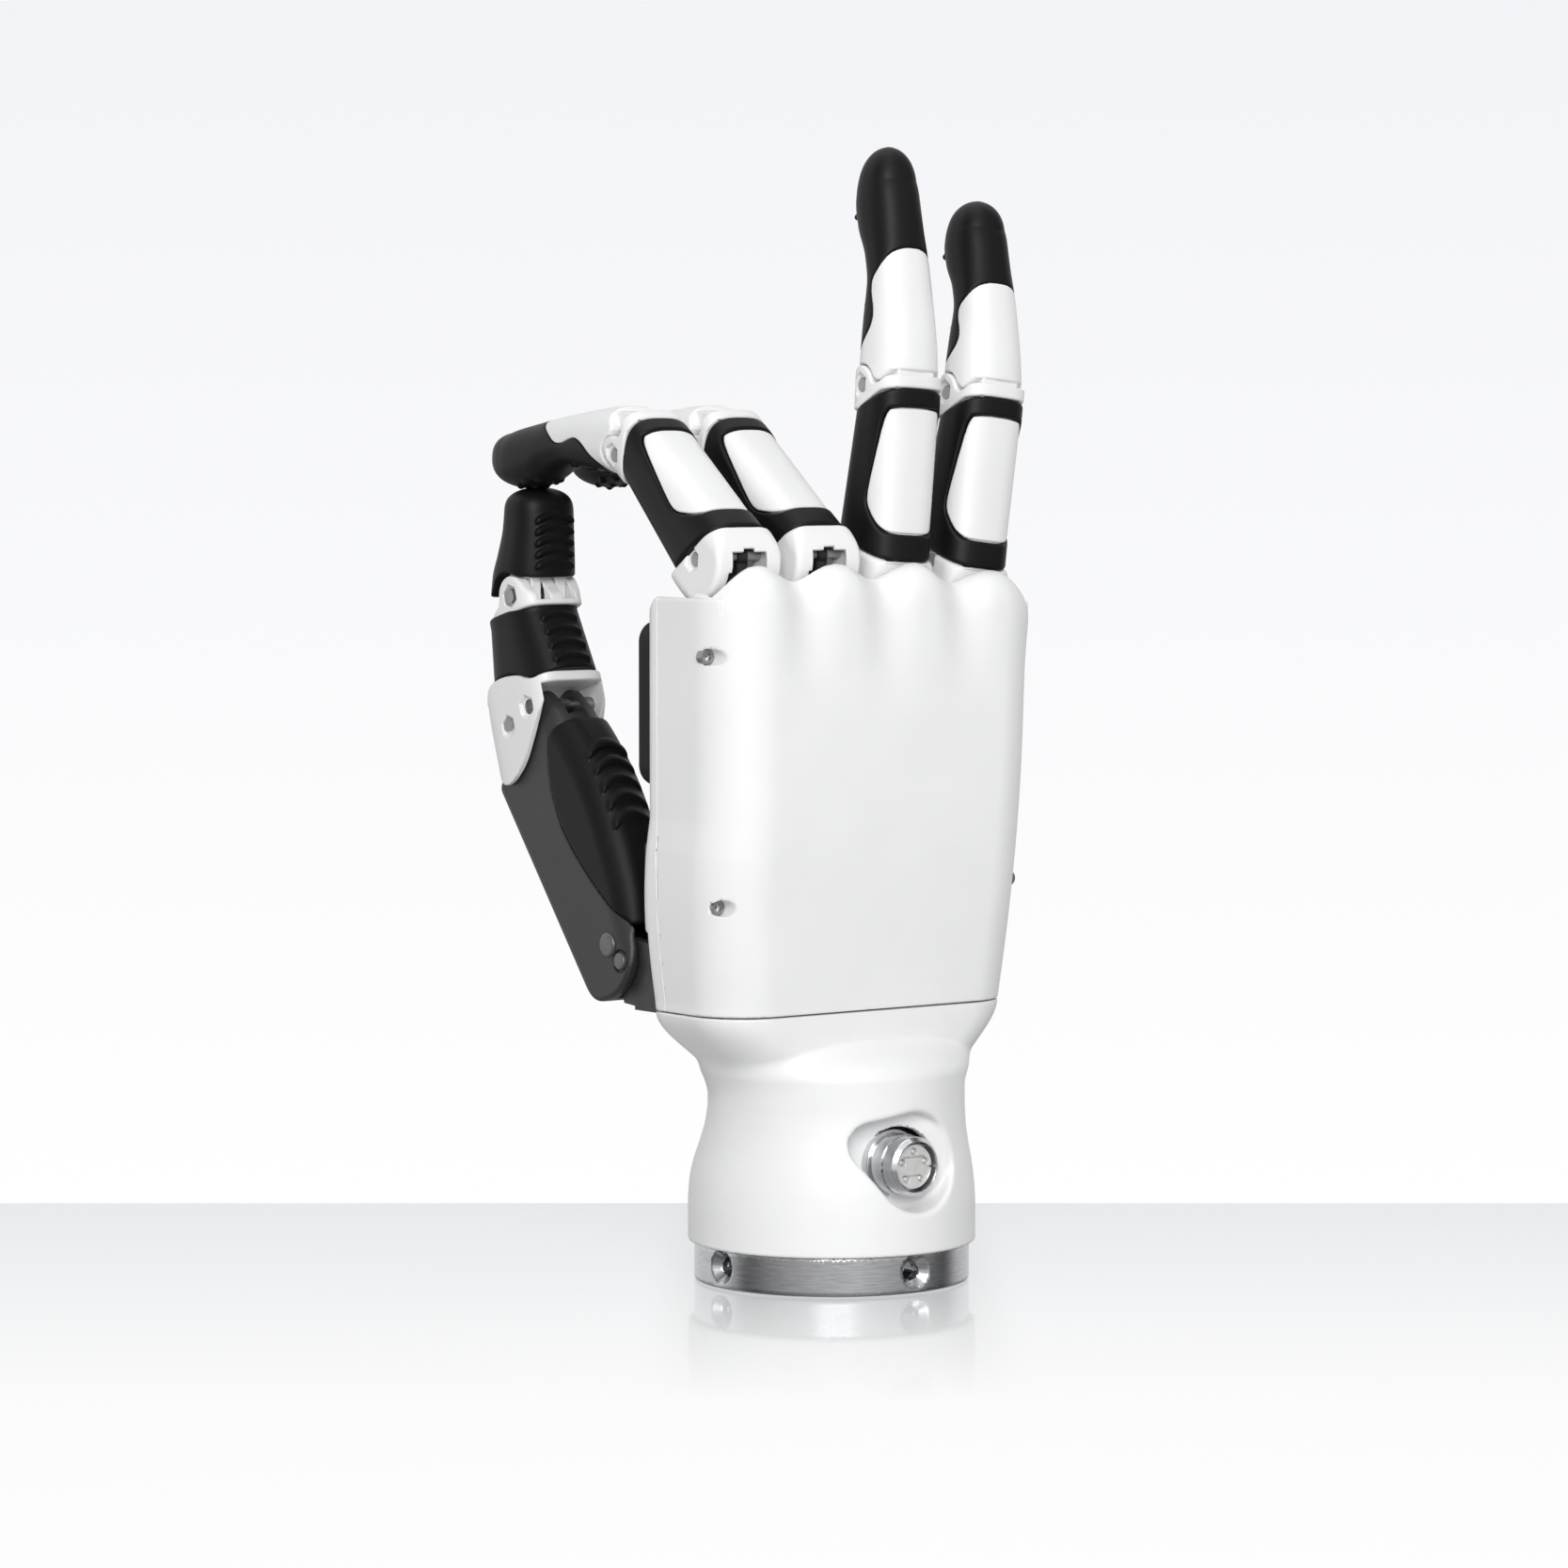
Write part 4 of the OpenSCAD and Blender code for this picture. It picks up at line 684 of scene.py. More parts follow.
def hexagon(u, v, r):
    """Six-sided outline with a corner on the +u axis; r is the corner radius."""
    a, b = abs(u), abs(v)
    k = math.sqrt(3) / 2
    return maximum(a * k + b * 0.5, b) - r * k


def first_form(x, y, z, grow=0.0):
    """Outer form of the first segment, before its ends are cut."""
    return oval(x, y, HALF, back_reach(z), front_reach(z), 3.0) - grow


def between(y, z, low_front, low_back, high_front, high_back):
    """Slab whose ends slope from the palm side to the back."""
    t = (y + 9) / 12.2
    return maximum(low_back + (low_front - low_back) * clip((y + 8.8) / 16, -0.1, 1.1) - z,
                      z - (high_back + (high_front - high_back) * clip(t, -0.1, 1.1)))


def core_form(x, y, z, c=0.0):
    front = np.interp(z, [-2, 4, LINK - 1], [4.6, 3.8, 1.9])
    return smax(oval(x, y, 5.95, 8.1, front, 3.0) - c, maximum(-2 - z, z - (LINK - 1)), 0.1)


CAP_SIDE = rounded([(-14, 4.2), (-8.6, 4.2), (-6.6, 5.2), (-4.7, 7.8), (-3.75, 9.8), (-3.7, 11.8), (-4.3, 14.8),
                    (-5.5, 20), (-6.5, LINK - 7.4), (-7.1, LINK - 5.0), (-8.4, LINK - 4.0),
                    (-14, LINK - 4.0)], 5)
CAP_EDGE = [(-4, 3.6), (-7.4, 4.6), (-9.5, 9), (-9.3, 18), (-6.4, LINK - 5.4), (-4.6, LINK - 4.0)]
CAP_FRONT = rounded(CAP_EDGE + [(-a, b) for a, b in reversed(CAP_EDGE)], 5)


def cap_zone(x, y, z):
    return smax(poly(y, z, CAP_SIDE), poly(x, z, CAP_FRONT), 0.8)


def hex_pair(x, y, z, cy, cz, half):
    return maximum(hexagon(z - cz, y - cy, 2.3), half - 0.9 - abs(x))


# First segment: frame with the knuckle fork below and the ears and band above
CHEEK = arc(0, 0, DISC, -170, 30, 44) + [(7.45, 4.55), (-8.9, -1.25)]
HEAD = [(-9.6, LINK - 0.15), (-9.6, LINK + 2), (-8.2, LINK + 2), (-7.0, LINK + 1.7), (-6.0, LINK + 0.9),
        (-5.2, LINK + 0.35), (-4.4, LINK + 0.3), (-3.7, LINK + 0.7)] \
    + arc(0, LINK, 3.6, 160, -10, 24) + [(3.2, LINK - 4.95), (0, LINK - 4.5), (-6, LINK - 1)]


def frame_fun(x, y, z):
    cheek = smax(poly(y, z, CHEEK), rect(x, y, HALF, 8.9, 4.0), 1.2)
    head = smax(poly(y, z, HEAD), oval(x, y, HALF, 9.2, 4.0, 3.2), 0.5)
    d = minimum(minimum(cheek, core_form(x, y, z)), head)
    # fork round the palm's lugs; slot and stem let the push rod out behind the knuckle
    fork = maximum(poly(y, z, [(-7.0, 4.4), (14, 4.4), (14, -14), (-4.2, -12.0), (-2.6, -7.2)]
                           + arc(0, 0, 7.65, 250, 184, 16)), abs(x) - FORK)
    slot = maximum(poly(y, z, [(-12.8, -9.9), (-5.2, -5.1), (-2, -5.1), (-1, -14), (-14, -14)]),
                      abs(x) - 3.9)
    stem = maximum(poly(y, z, [(-12.8, -9.0), (-5.0, -4.2), (-2, -14), (-14, -14)]), abs(x) - 1.25)
    # channel of the crossed link; well and mouth of the end segment's drum
    channel = maximum(poly(y, z, [(-7.1, 4), (-7.1, 50), (10, 50), (10, 4)]), abs(x) - 1.5)
    well = maximum(rod(y, z - LINK, 8.3), abs(x) - FORK)
    mouth = maximum(maximum(abs(x) - FORK, -8 - y), LINK - z)
    for cut in (fork, slot, stem, channel, well, mouth):
        d = smax(d, -cut, 0.25)
    for cz in (0, LINK):
        d = smax(d, -hex_pair(x, y, z, 0, cz, HALF), 0.2)
    for cz in (0, LINK):
        d = maximum(d, -rod(y, z - cz, 1.27))
    return d


def sleeve_fun(x, y, z):
    ends = between(y, z, 4.6, -1.2, LINK - 5, LINK - 0.2)
    d = smax(first_form(x, y, z), ends, 1.0)
    # rows of low grip studs on the palm side
    for row in range(5):
        for s in (-1, 0, 1):
            zc = 8.5 + 3.7 * row + (1.8 if s == 0 else 0)
            ys = float(front_reach(zc)) - (0.0 if s == 0 else 1.0)
            d = smin(d, np.sqrt((x - s * 3.6) ** 2 + (y - ys) ** 2 + ((z - zc) * 1.2) ** 2) - 0.75, 0.35)
    d = smax(d, -maximum(cap_zone(x, y, z) - 0.1, -1.3 - first_form(x, y, z)), 0.5)
    # room for the palm's lugs and the push rod's pin, and for the crossed link
    d = maximum(d, -maximum(rod(y, z, 5.5), abs(x) - FORK))
    link_back = np.where(z > 27, -8.1, -6)
    d = maximum(d, -maximum(abs(x) - 1.7, maximum(y - front_reach(z) + 0.8, link_back - y)))
    return maximum(d, -core_form(x, y, z, -0.7))


def cap_fun(x, y, z):
    d = smax(first_form(x, y, z, -0.22), cap_zone(x, y, z) + 0.1, 0.5)
    return maximum(d, -core_form(x, y, z, -0.7))


frame_mesh = solid(frame_fun, (-8.6, -10.4, -9.4), (8.6, 9.4, LINK + 4.8), FINE)
sleeve_mesh = solid(sleeve_fun, (-8.4, -10, -2.4), (8.4, 9.0, LINK + 1), FINE)
cap_mesh = solid(cap_fun, (-8.4, -10, 2), (8.4, 0, LINK - 1.5), FINE)
for f in fingers:
    for part, mesh, finish, slot, node in (("_first_frame", frame_mesh, WHITE_ABS, "white_shell", "_frame"),
                                           ("_grip_sleeve", sleeve_mesh, RUBBER, "black_rubber", "_sleeve"),
                                           ("_inset_cap", cap_mesh, WHITE_ABS, "white_shell", "_cap")):
        piece(f.name + part, mesh, finish, f.name + node, f.name + "_proximal", f.first)


# ---- end segments
# A white ABS shell with a drum that turns in the middle joint, and a black rubber grip with small studs
# that is moulded over its palm side and tip.
# Sections from the middle joint to the tip: share of length, half width, reach to the back and the front
END = np.array([[0, 7.3, 9.2, 4.0], [0.12, 7.1, 8.8, 4.0], [0.28, 6.7, 7.6, 3.8], [0.42, 6.2, 6.3, 3.5],
                [0.54, 5.9, 5.2, 4.9], [0.66, 5.7, 3.9, 7.9], [0.77, 5.5, 2.7, 9.2], [0.86, 5.2, 1.6, 9.1]])
RING_TIP = 45.2  # length that the grip's edge and studs are drawn for


def end_form(x, y, z, tip):
    t = clip(z / tip, 0, 0.999)
    # near the tip the section closes like an ellipse
    k = clip((t - 0.80) / 0.20, 0, 1)
    close = np.sqrt(maximum(1 - k ** 2.3, 1e-4))
    half = curve(t, END[:, 0], END[:, 1]) * close
    back = curve(t, END[:, 0], END[:, 2])
    front = curve(t, END[:, 0], END[:, 3])
    c, b = (front - back) / 2, (front + back) / 2 * close
    f = ((abs(x) / half) ** 2.5 + (abs(y - c) / b) ** 2.5) ** 0.4
    return maximum((f - 1) * minimum(minimum(half, b), 4.0), maximum((z - tip) * 0.8, -z - 3))


def pad_zone(y, z, tip):
    k = tip / RING_TIP
    edge = [(-16, 28.7), (-10, 28.5), (-6.5, 27.8), (-4.2, 25.4), (-2.2, 22.0), (-0.9, 19.8), (-0.9, 17.6),
            (-1.9, 14.6), (-2.2, 12.6), (-1.3, 10.2), (0.8, 7.6)]
    return poly(y, z, rounded([(a, b * k) for a, b in edge]
                              + [(3.1, 4.9), (6.5, 4.3), (16, 4.2), (18, 30), (16, 58), (0, 60), (-16, 58)], 5))


END_LOW = [(-16, -14), (-16, 2.95), (-8.3, 2.95), (-7.1, 2.65), (-6.2, 1.8), (-5.3, 1.0), (-4.6, 0.8)] \
    + arc(0, 0, 3.9, 155, 0, 24) + [(20, 0), (20, -14)]
DRUM = [(0, 4.4), (-8, 4.4)] + arc(0, 0, 8, 180, 236, 20) + arc(0, 0, 3.4, 250, 360, 14) + [(3.4, 4.4)]


def end_fun(tip):
    def fun(x, y, z):
        d = smax(end_form(x, y, z, tip), 0.04 - pad_zone(y, z, tip), 0.3)
        d = smax(d, -poly(y, z, END_LOW), 0.5)
        drum = smax(poly(y, z, DRUM), abs(x) - 4.3, 0.5)
        drum = maximum(drum, -maximum(abs(x) - 1.4, z - 1.4))
        d = minimum(d, drum)
        return maximum(d, -rod(y, z, 1.3))
    return fun


# Rows of grip studs: place along the segment, and places across it
THREE, FOUR = (-2.6, 0, 2.6), (-3.8, -1.3, 1.3, 3.8)
STUDS = ((6.8, THREE), (9.6, FOUR), (12.4, THREE), (15.2, FOUR), (18, THREE), (29, THREE),
         (31.8, (-3.6, -1.3, 1.3, 3.6)), (34.6, THREE), (37.4, (-1.5, 1.5)))


def pad_fun(tip):
    def fun(x, y, z):
        d = smax(end_form(x, y, z, tip), pad_zone(y, z, tip) + 0.04, 0.35)
        t = tip / RING_TIP
        for zc, xs in STUDS:
            zz = zc * t
            front = float(curve(np.array([min(zz / tip, 0.86)]), END[:, 0], END[:, 3])[0])
            for xc in xs:
                yc = front - 0.022 * xc * xc * front ** 0.5 - (0.25 if zc < 37 else 1.0)
                d = smin(d, np.sqrt((x - xc) ** 2 + (y - yc) ** 2 + ((z - zz) * 1.25) ** 2) - 0.8, 0.3)
        return maximum(d, -rod(y, z, 3.95))
    return fun


for f in fingers:
    piece(f.name + "_end_shell", solid(end_fun(f.tip), (-8, -10.4, -9), (8, 6, 32), FINE), WHITE_ABS,
          f.name + "_end", f.name + "_distal", f.end)
    piece(f.name + "_tip_grip", solid(pad_fun(f.tip), (-8, -8, 3), (8, 11.4, f.tip + 1), FINE), RUBBER,
          f.name + "_pad", f.name + "_distal", f.end)


# ---- finger pins, push rods and links
# The joint pins end in plugs in the hex seats. A push rod from each lead screw turns the first segment and a
# crossed link bends the end segment with it.
# Acetal plugs over the steel pins, moulded nylon push rods and steel coupling links
GREY_ACETAL = material("grey_acetal_plug", "a6a6a6", "989898", rough=0.45, bump=0.08)
DARK_NYLON = material("dark_moulded_nylon", "262627", "1c1c1d", rough=0.5, bump=0.12, grain=1500)
for name in FINGERS:
    dress(GREY_ACETAL, name + "_pins")
    dress(DARK_NYLON, name + "_rod")
    dress(GROUND_STEEL, name + "_link")


# ---- thumb mount, motor and swivel
# The turning motor stands in a fixed nylon mount inside the palm and carries the die-cast swivel on its
# shaft. The thumb's steel pins and the acetal plug of its tip joint are dressed here too.
# Die-cast swivel with a grey blasted skin
CAST_SWIVEL = material("blasted_zinc_casting", "555557", "434345", rough=0.45, metal=0.5, patch=300, bump=0.1)
dress(DARK_NYLON, "thumb_mount")
dress(CAST_SWIVEL, "thumb_swivel")
dress(STEEL_CAN, "thumb_motor")
dress(GROUND_STEEL, "thumb_pins")
dress(GREY_ACETAL, "thumb_joint_pin")


# ---- thumb housing
# A tapered box of glass-filled nylon that holds the bending motor, with a ribbed rubber cover on the side
# that faces the palm's back and two pivot caps at its root.
# Glass-filled nylon: dark grey, dull, with a visible fine grain
GREY_NYLON = material("grey_glass_filled_nylon", "343435", "2c2c2d", rough=0.42, bump=0.12, grain=1600)
# Blackened steel pivot caps
DARK_STEEL = material("blackened_steel", "767677", "636465", rough=0.38, metal=0.6, patch=400)
J1, J2, J3 = (Vector(joints[n]["pos_m"]) for n in ("thumb_pitch", "thumb_middle_joint", "thumb_tip_joint"))
ROOT = basis(J1, (1, 0, 0), J2 - J1)
MIDDLE = basis(J2, (1, 0, 0), J3 - J2)
TIP = basis(J3, (1, 0, 0), (0, 0, 1))
TH = 6.6  # half width of the housing
HOUSE = rounded([(-6.2, 4.5), (-6.8, 12), (-6.8, 24), (-6.6, 34), (-5.6, 46), (-4.6, 51.5), (-3, 56), (0, 58.4),
                 (3.6, 57.4), (6, 53), (11, 50.6), (18.2, 47.6), (19.6, 45.0), (18.1, 33), (16.2, 18), (14.3, 3),
                 (13.3, 0), (10.8, -3.0), (7.6, -4.3), (4, -4.7), (0.6, -4.0), (-2.2, -2.2), (-3.8, 0.4),
                 (-4.7, 3.2)], 4)


def house_section(x, y, z, grow=0.0, lift=0.0):
    """Cross-section of the housing; lift raises its back."""
    y0 = curve(z, [-6, 4, 12, 32, 46, 52, 58], [-5.6, -6.2, -6.8, -6.7, -5.6, -4.6, -2.0]) - lift
    return section(x, y, -TH - grow, TH + grow, y0 - grow, 13.9 + 0.125 * z, 5.4, 2.6)


COVER_SIDE = rounded([(-6.2, 4.6), (-4.6, 6.8), (-1.8, 12.4), (1.1, 20.3), (2.9, 27), (3.5, 32.4), (3.0, 38),
                      (1.5, 42.5), (-0.8, 46.5), (-3.4, 48.6), (-7.8, 49.2), (-15, 49.4), (-15, 4.6)], 5)


def housing_fun(x, y, z):
    d = smax(poly(y, z, HOUSE), house_section(x, y, z), 0.9)
    fork = maximum(poly(y, z, [(-10, -8), (-10, 9), (2, 9), (7, 5), (7, -5), (3, -8)]), abs(x) - 4.4)
    slot = maximum(poly(y, z, [(-9, 46), (-9, 62), (14, 62), (10.5, 46)]), abs(x) - 2.1)
    d = smax(d, -fork, 0.4)
    d = smax(d, -slot, 0.4)
    # shallow step round the ribbed cover, and the screw seats
    d = smax(d, -maximum(poly(y, z, COVER_SIDE) - 0.35, -0.45 - house_section(x, y, z)), 0.15)
    d = smax(d, -maximum(rod(y, z, 2.2), TH - 0.45 - abs(x)), 0.15)
    for cz in (-1.5, 44.5):
        d = smax(d, -maximum(hypot(x + 3.2, z - cz) - 0.9, 12.6 + 0.125 * z - y), 0.1)
    return d


def cover_swell(z):
    return 3.2 * np.sin(np.pi * clip((z - 4) / 50, 0, 1)) ** 0.8


def ribbed_fun(x, y, z):
    d = smax(poly(y, z, COVER_SIDE), house_section(x, y, z, 0.3, cover_swell(z)), 0.9)
    for k in range(5):
        zc = 41.5 - 3.9 * k
        yc = -6.75 - float(cover_swell(np.array(zc)))
        dz, dy = z - (zc - 0.11 * x * x), y - yc - 0.035 * x * x
        ridge = hypot(dz * np.where(dz > 0, 0.55, 1.25), dy) - 0.85
        d = smin(d, smax(ridge, abs(x) - 4.6, 0.8), 0.35)
    return maximum(d, -(house_section(x, y, z) + 0.5))


THUMB_FINE = step(0.32)
piece("thumb_housing_body", solid(housing_fun, (-7.4, -8, -7), (7.4, 20, 60), THUMB_FINE), GREY_NYLON,
      "thumb_housing", "thumb_base", ROOT)
piece("thumb_ribbed_cover", solid(ribbed_fun, (-7.6, -13, 2.5), (7.6, 4.5, 51), THUMB_FINE), RUBBER,
      "thumb_cover", "thumb_base", ROOT)


def bolts_fun(x, y, z):
    cap = smax(rod(y - 1.7, z - 4.4, 2.35), abs(x) - TH - 0.5, 0.5)
    pin = smax(rod(y, z, 1.65), abs(x) - TH - 0.3, 0.4)
    d = maximum(minimum(cap, pin), 5.2 - abs(x))
    return minimum(d, maximum(rod(y, z, 1.5), abs(x) - TH))


piece("thumb_root_bolts", solid(bolts_fun, (-8, -3.5, -3.5), (8, 5, 9.5), step(0.22)), DARK_STEEL,
      "thumb_root_pin", "thumb_base", ROOT)


# ---- thumb middle segment
# A white ABS bracket with two side plates, a neck and the ears of the tip joint. A short rubber sleeve with
# ridges is pushed over the neck.
# Side views of the plates, of the band between them and of the ears, and the lower hexagonal seat
PLATE = rounded([(-6.6, 4.4), (-7.0, 3.2), (-5.2, 0.4), (0.2, -5.8), (5.2, -10.4), (10.6, -12.6), (13.6, -11),
                 (14.6, -6), (14.0, 0), (12.6, 5.6), (10.4, 7.3), (6.6, 7.6), (1.8, 6.7), (-1, 5.4),
                 (-3.4, 4.8)], 5)
BAND = rounded([(-6.6, 3.4), (-6.6, 5.4), (-3.4, 4.9), (-1, 5.5), (1.8, 6.8), (6.6, 7.7), (10.4, 7.4),
                (13.0, 5.6), (13.4, 3.4), (4, 3.6)], 4)
EAR_Z = 22.2  # height of the tip joint
TINE_X = 2.9  # place of the tip fork's tines across the joint
EARS = [(-6.6, 18.9), (8.2, 18.9), (7.8, 20.0), (6.2, 20.8), (4.6, 21.4)] + arc(0, EAR_Z, 3.9, 5, 150, 20) \
    + [(-4.2, 22.6), (-5.4, 21.2), (-6.6, 20.2)]
SEATS = ((0, 0), (7.1, -2.0))


def bracket_fun(x, y, z):
    body = oval(x, y, 8.2, 6.3, 15.6, 5.0)
    plates = smax(maximum(poly(y, z, PLATE), body), 6.95 - abs(x), 0.25)
    band = smax(poly(y, z, BAND), body, 0.5)
    neck = maximum(poly(y, z, [(-3.6, 4.2), (7.4, 5.2), (6.4, 19.6), (-2.6, 19.6)]), abs(x) - 5.1)
    head = smax(poly(y, z, EARS), oval(x, y, 7.2, 5.6, 9.4, 4.5), 0.6)
    for s in (-1, 1):
        room = maximum(abs(x - s * TINE_X) - 1.45, minimum(20.0 - z, rod(y, z - EAR_Z, 3.6)))
        head = smax(head, -room, 0.4)
    head = smax(head, -maximum(abs(x) - 4.4, rod(y, z - EAR_Z, 3.4)), 0.3)
    d = minimum(minimum(plates, band), minimum(neck, head))
    for cy, cz in SEATS:
        d = smax(d, -hex_pair(x, y, z, cy, cz, 8.2), 0.2)
    return smax(d, -hex_pair(x, y, z, 0, EAR_Z, 7.2), 0.2)


def thumb_sleeve_fun(x, y, z):
    t = clip((z - 5) / 13, 0, 1)
    half, back, front = 7.9 - 0.5 * t, 7.4 - 2.6 * t, 14.6 - 2.9 * t
    low = poly(y, z, [(-20, 5.6), (-6.6, 5.6), (-5, 5.3), (-3.4, 5.1), (-2, 5.3), (-1, 5.7), (0.6, 6.4),
                      (1.8, 7.0), (4, 7.6), (6.6, 7.9), (8.6, 7.9), (10.4, 7.6), (13.0, 5.8), (20, 2),
                      (20, -20), (-20, -20)])
    d = smax(oval(x, y, half, back, front, 3.0), z - 19.3 - 0.06 * (y + 5), 0.7)
    d = smax(d, -low, 0.5)
    for k in range(4):
        zc = 8.4 + 2.9 * k
        ridge = hypot((z - zc + 0.06 * x * x) * 0.8, y + 7.25 - 2.6 * (zc - 5) / 13) - 0.55
        d = smin(d, smax(ridge, abs(x) - 4.2, 0.6), 0.4)
    return maximum(d, -oval(x, y, 4.9, 3.4, 7.0, 3.0))


piece("thumb_middle_bracket", solid(bracket_fun, (-9, -7.2, -16.5), (9, 16.5, 28), THUMB_FINE), WHITE_ABS,
      "thumb_bracket", "thumb_middle", MIDDLE)
piece("thumb_middle_sleeve", solid(thumb_sleeve_fun, (-8.6, -8.2, 2), (8.6, 16, 21.4), THUMB_FINE), RUBBER,
      "thumb_sleeve", "thumb_middle", MIDDLE)


# ---- thumb tip
# A black rubber tip with ridges on its back, moulded on a white ABS fork whose two tines turn between the
# ears. Its skirt reaches down over the joint on the outer side.
# Sections along the tip: height, half width, reach to the back and the front
TIP_Z = (0, 3.9, 8, 13, 20)
TIP_HALF, TIP_BACK = (7.35, 7.3, 7.0, 6.6, 6.4), (5.1, 5.3, 5.4, 5.4, 5.1)
TIP_FRONT = (10.2, 9.5, 7.9, 6.4, 5.6)
SKIRT = rounded([(-14, 3.5), (-7, 3.5), (-2, 3.8), (1.6, 4.4), (4.4, 3.2), (5.6, 1.4), (7.2, -0.4), (12, -1.0),
                 (14, -8), (-14, -8)], 4)


def thumb_tip_form(x, y, z):
    k = clip((z - 16.0) / 5.0, 0, 0.999)
    close = np.sqrt(maximum(1 - k ** 3.2, 1e-4))
    half = curve(z, TIP_Z, TIP_HALF) * close
    back = curve(z, TIP_Z, TIP_BACK)
    front = curve(z, TIP_Z, TIP_FRONT)
    c, b = (front - back) / 2, (front + back) / 2 * close
    f = ((abs(x) / half) ** 2.7 + (abs(y - c) / b) ** 2.7) ** (1 / 2.7)
    return maximum((f - 1) * minimum(minimum(half, b), 4.5), (z - 21.0) * 0.8)


def thumb_tip_fun(x, y, z):
    d = smax(thumb_tip_form(x, y, z), -poly(y, z, SKIRT), 0.5)
    for k in range(5):
        zc = 7.0 + 2.2 * k
        ridge = hypot((z - zc + 0.07 * x * x) * 0.85, y + 5.25) - 0.55
        d = smin(d, smax(ridge, abs(x) - 4.4, 0.6), 0.35)
    return d


def thumb_end_fun(x, y, z):
    d = 1e3
    for s in (-1, 1):
        u = abs(x - s * TINE_X) - 1.15
        d = minimum(d, smax(minimum(rod(y, z, 3.1), rect(y, z - 3, 3.0, 3.0)), u, 0.35))
    d = minimum(d, smax(rect(y, z - 4.9, 3.2, 1.4), abs(x) - 5.0, 0.3))
    return maximum(d, -rod(y, z, 1.5))


piece("thumb_tip_grip", solid(thumb_tip_fun, (-8, -6.6, -2.5), (8, 10.6, 22), THUMB_FINE), RUBBER,
      "thumb_pad", "thumb_tip", TIP)
piece("thumb_tip_fork", solid(thumb_end_fun, (-6, -4.4, -4), (6, 4.4, 7.4), step(0.25)), WHITE_ABS,
      "thumb_end", "thumb_tip", TIP)


# ---- camera
# A long lens about a metre away, a little above the middle of the hand, looks at its back and thumb side.
# The focal length is written for a frame of 1667 by 1667.
eye = bpy.data.cameras.new("camera")
eye.sensor_width = 36
eye.lens = 36 * 6000 / 1667
eye.clip_end = 20
camera = linked("camera", eye)
YAW, TILT, DISTANCE = math.radians(36.75), math.radians(3.79), 1.0623
ahead = Vector((math.sin(YAW) * math.cos(TILT), math.cos(YAW) * math.cos(TILT), -math.sin(TILT)))
right = Vector((math.cos(YAW), -math.sin(YAW), 0))
up = right.cross(ahead)
camera.matrix_world = Matrix((right, up, -ahead)).transposed().to_4x4()
camera.location = Vector((0, 0, 0.110)) - ahead * DISTANCE + right * -0.009 + up * -0.0165
bpy.context.scene.camera = camera


# ---- floor and backdrop
# The polished floor fades to white towards the camera. It keeps the shadow of the hand and shows a soft
# mirror of the flange just in front of it.
level = Vector((ahead.x, ahead.y, 0)).normalized()
side = Vector((-level.y, level.x, 0))
FLOOR_BACK = 0.10


def board(name, points, finish):
    mesh = bpy.data.meshes.new(name)
    mesh.from_pydata([tuple(p) for p in points], [], [(0, 1, 2, 3)])
    mesh.materials.append(finish)
    ob = linked(name, mesh)
    return ob


def fade_colour(tree, value, start, end, first, last):
    span = add(tree, "ShaderNodeMapRange", {"Value": value, "From Min": start, "From Max": end})
    ramp = add(tree, "ShaderNodeValToRGB", {"Fac": span})
    ramp.color_ramp.elements[0].color = lin(first)
    ramp.color_ramp.elements[1].color = lin(last)
    return ramp


def along(tree, place, direction):
    return add(tree, "ShaderNodeVectorMath", {0: place, 1: direction}, operation="DOT_PRODUCT").outputs["Value"]


# Polished white floor: bright to the camera, half as bright to the hand so that its undersides stay in shade
FLOOR, tree = empty_material("polished_white_floor")
place = add(tree, "ShaderNodeNewGeometry")
away = along(tree, place, level)
across = along(tree, place, side)
seen = add(tree, "ShaderNodeLightPath").outputs["Is Camera Ray"]
bright = add(tree, "ShaderNodeMapRange", {"Value": seen, "To Min": 0.5, "To Max": 1.0})
glow = add(tree, "ShaderNodeEmission", {"Color": fade_colour(tree, away, -0.14, FLOOR_BACK, "ffffff", "eceef1"),
                                        "Strength": bright})
matt = add(tree, "ShaderNodeBsdfDiffuse", {"Color": lin("f0f0f0")})
base = add(tree, "ShaderNodeMixShader", {"Fac": 0.86, 1: matt, 2: glow})
mirror = add(tree, "ShaderNodeBsdfGlossy", {"Roughness": 0.06})
off_line = add(tree, "ShaderNodeMath", {0: across}, operation="ABSOLUTE")
near = add(tree, "ShaderNodeMapRange", {"Value": off_line, "From Min": 0.036, "From Max": 0.022},
           interpolation_type="SMOOTHSTEP")
close = add(tree, "ShaderNodeMapRange", {"Value": away, "From Min": -0.135, "From Max": -0.026,
                                         "To Max": 0.45})
polish = add(tree, "ShaderNodeMath", {0: near, 1: close}, operation="MULTIPLY")
top_coat = add(tree, "ShaderNodeMixShader", {"Fac": polish, 1: base, 2: mirror})
add(tree, "ShaderNodeOutputMaterial", {"Surface": top_coat})
low = Vector((0, 0, -0.0002))
floor = board("floor", [-side * 3 - level * 2 + low, side * 3 - level * 2 + low,
                        side * 3 + level * FLOOR_BACK + low, -side * 3 + level * FLOOR_BACK + low], FLOOR)

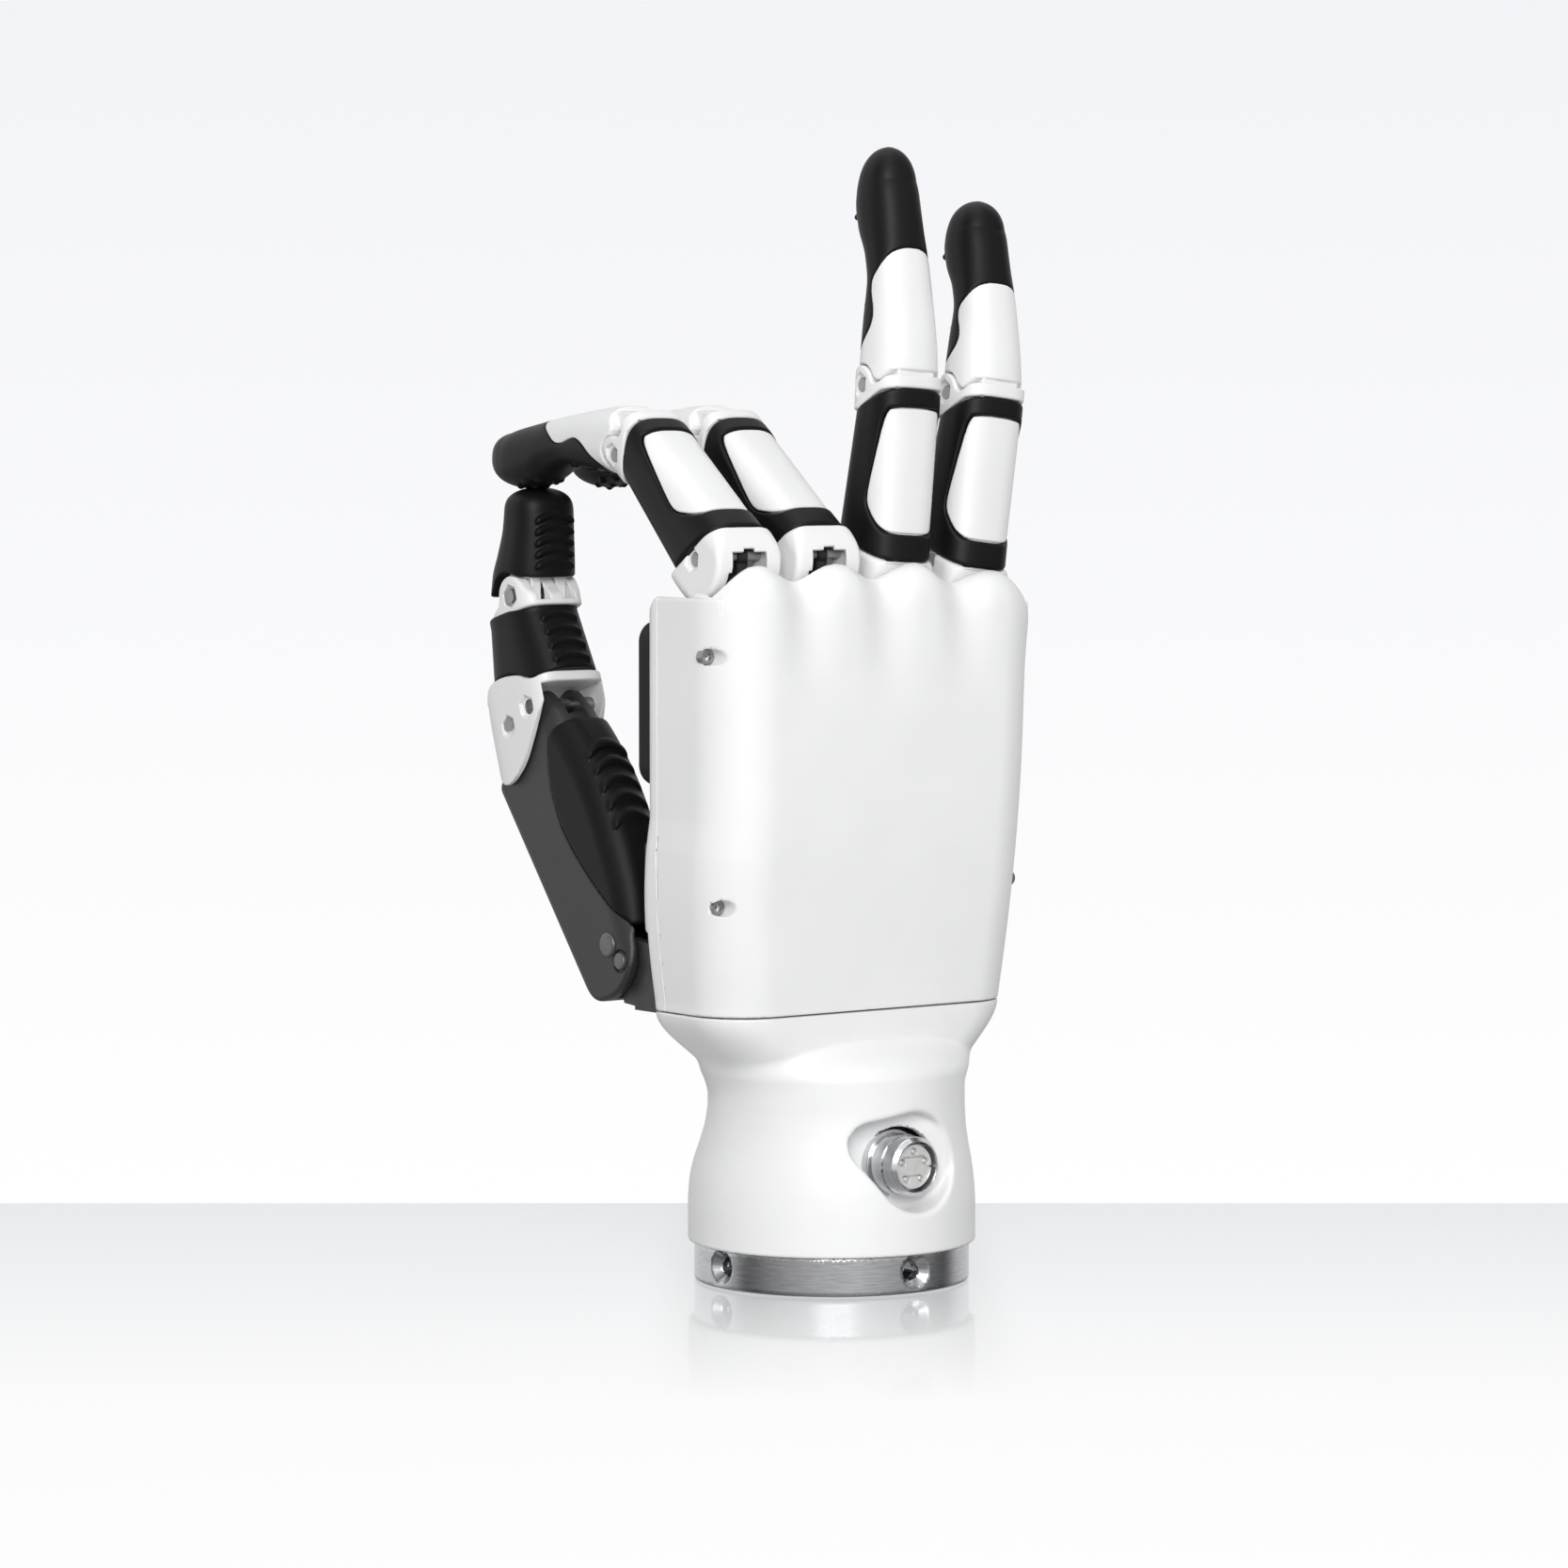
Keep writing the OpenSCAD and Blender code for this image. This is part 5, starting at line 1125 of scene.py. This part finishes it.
# Matt backdrop that turns faintly blue with height
BACKDROP, tree = empty_material("pale_painted_backdrop")
height = add(tree, "ShaderNodeSeparateXYZ", {0: add(tree, "ShaderNodeNewGeometry")}).outputs["Z"]
glow = add(tree, "ShaderNodeEmission", {"Color": fade_colour(tree, height, 0.0, 0.34, "ffffff", "eeeff4")})
add(tree, "ShaderNodeOutputMaterial", {"Surface": glow})
wall = board("backdrop", [side * s * 6 + level * FLOOR_BACK + Vector((0, 0, h))
                          for s, h in ((-1, -0.5), (1, -0.5), (1, 2), (-1, 2))], BACKDROP)
wall.visible_shadow = wall.visible_diffuse = wall.visible_glossy = False
floor.visible_glossy = False


# ---- soft studio light
# Even light all round, with darker bands that only polished metal shows, and three soft boxes.
world = bpy.data.worlds.new("studio")
bpy.context.scene.world = world
world.use_nodes = True
tree = world.node_tree
tree.nodes.clear()
look = add(tree, "ShaderNodeTexCoord")
turn = add(tree, "ShaderNodeMath", {0: along(tree, look, right), 1: along(tree, look, -ahead)},
           operation="ARCTAN2")
round_way = add(tree, "ShaderNodeMapRange", {"Value": turn, "From Min": -math.pi, "From Max": math.pi})
bands = add(tree, "ShaderNodeValToRGB", {"Fac": round_way})
STOPS = [(-180, "f0f0f0"), (-120, "ffffff"), (-95, "f0f0f0"), (-80, "4c4c4c"), (-66, "8e8e8e"), (-40, "cccccc"),
         (20, "ffffff"), (60, "d6d6d6"), (92, "8a8a8a"), (112, "464646"), (128, "f0f0f0"), (180, "f0f0f0")]
while len(bands.color_ramp.elements) < len(STOPS):
    bands.color_ramp.elements.new(0.5)
for stop, (angle, colour) in zip(bands.color_ramp.elements, STOPS):
    stop.position = (angle + 180) / 360
    stop.color = lin(colour)
shiny = add(tree, "ShaderNodeLightPath").outputs["Is Glossy Ray"]
ROOM_LIGHT = (0.34, 0.345, 0.35, 1)
lift = add(tree, "ShaderNodeSeparateXYZ", {0: look}).outputs["Z"]
under = add(tree, "ShaderNodeMapRange", {"Value": lift, "From Min": -0.24, "From Max": -0.14, "To Min": 0.4})
shown = add(tree, "ShaderNodeVectorMath", {0: bands, "Scale": under}, operation="SCALE")
room = add(tree, "ShaderNodeMix", {"Factor": shiny, "A": ROOM_LIGHT, "B": shown}, data_type="RGBA")
sky = add(tree, "ShaderNodeBackground", {"Color": room.outputs["Result"]})
add(tree, "ShaderNodeOutputWorld", {"Surface": sky})
MIDDLE_OF_HAND = Vector((0, 0, 0.11))


def soft_box(name, where, size, power):
    lamp = bpy.data.lights.new(name, "AREA")
    lamp.shape = "RECTANGLE"
    lamp.size, lamp.size_y = size
    lamp.energy = power
    ob = linked(name, lamp)
    ob.location = MIDDLE_OF_HAND + where
    ob.rotation_euler = (-where).to_track_quat("-Z", "Y").to_euler()


soft_box("key", -level * 0.85 - side * 0.05 + Vector((0, 0, 0.36)), (0.5, 0.5), 6.2)
soft_box("side", -level * 0.1 + side * 0.9 + Vector((0, 0, 0.2)), (0.5, 0.8), 0.25)
soft_box("top", Vector((0, 0, 0.95)), (0.8, 0.8), 1.8)
bpy.context.scene.view_settings.view_transform = "Standard"
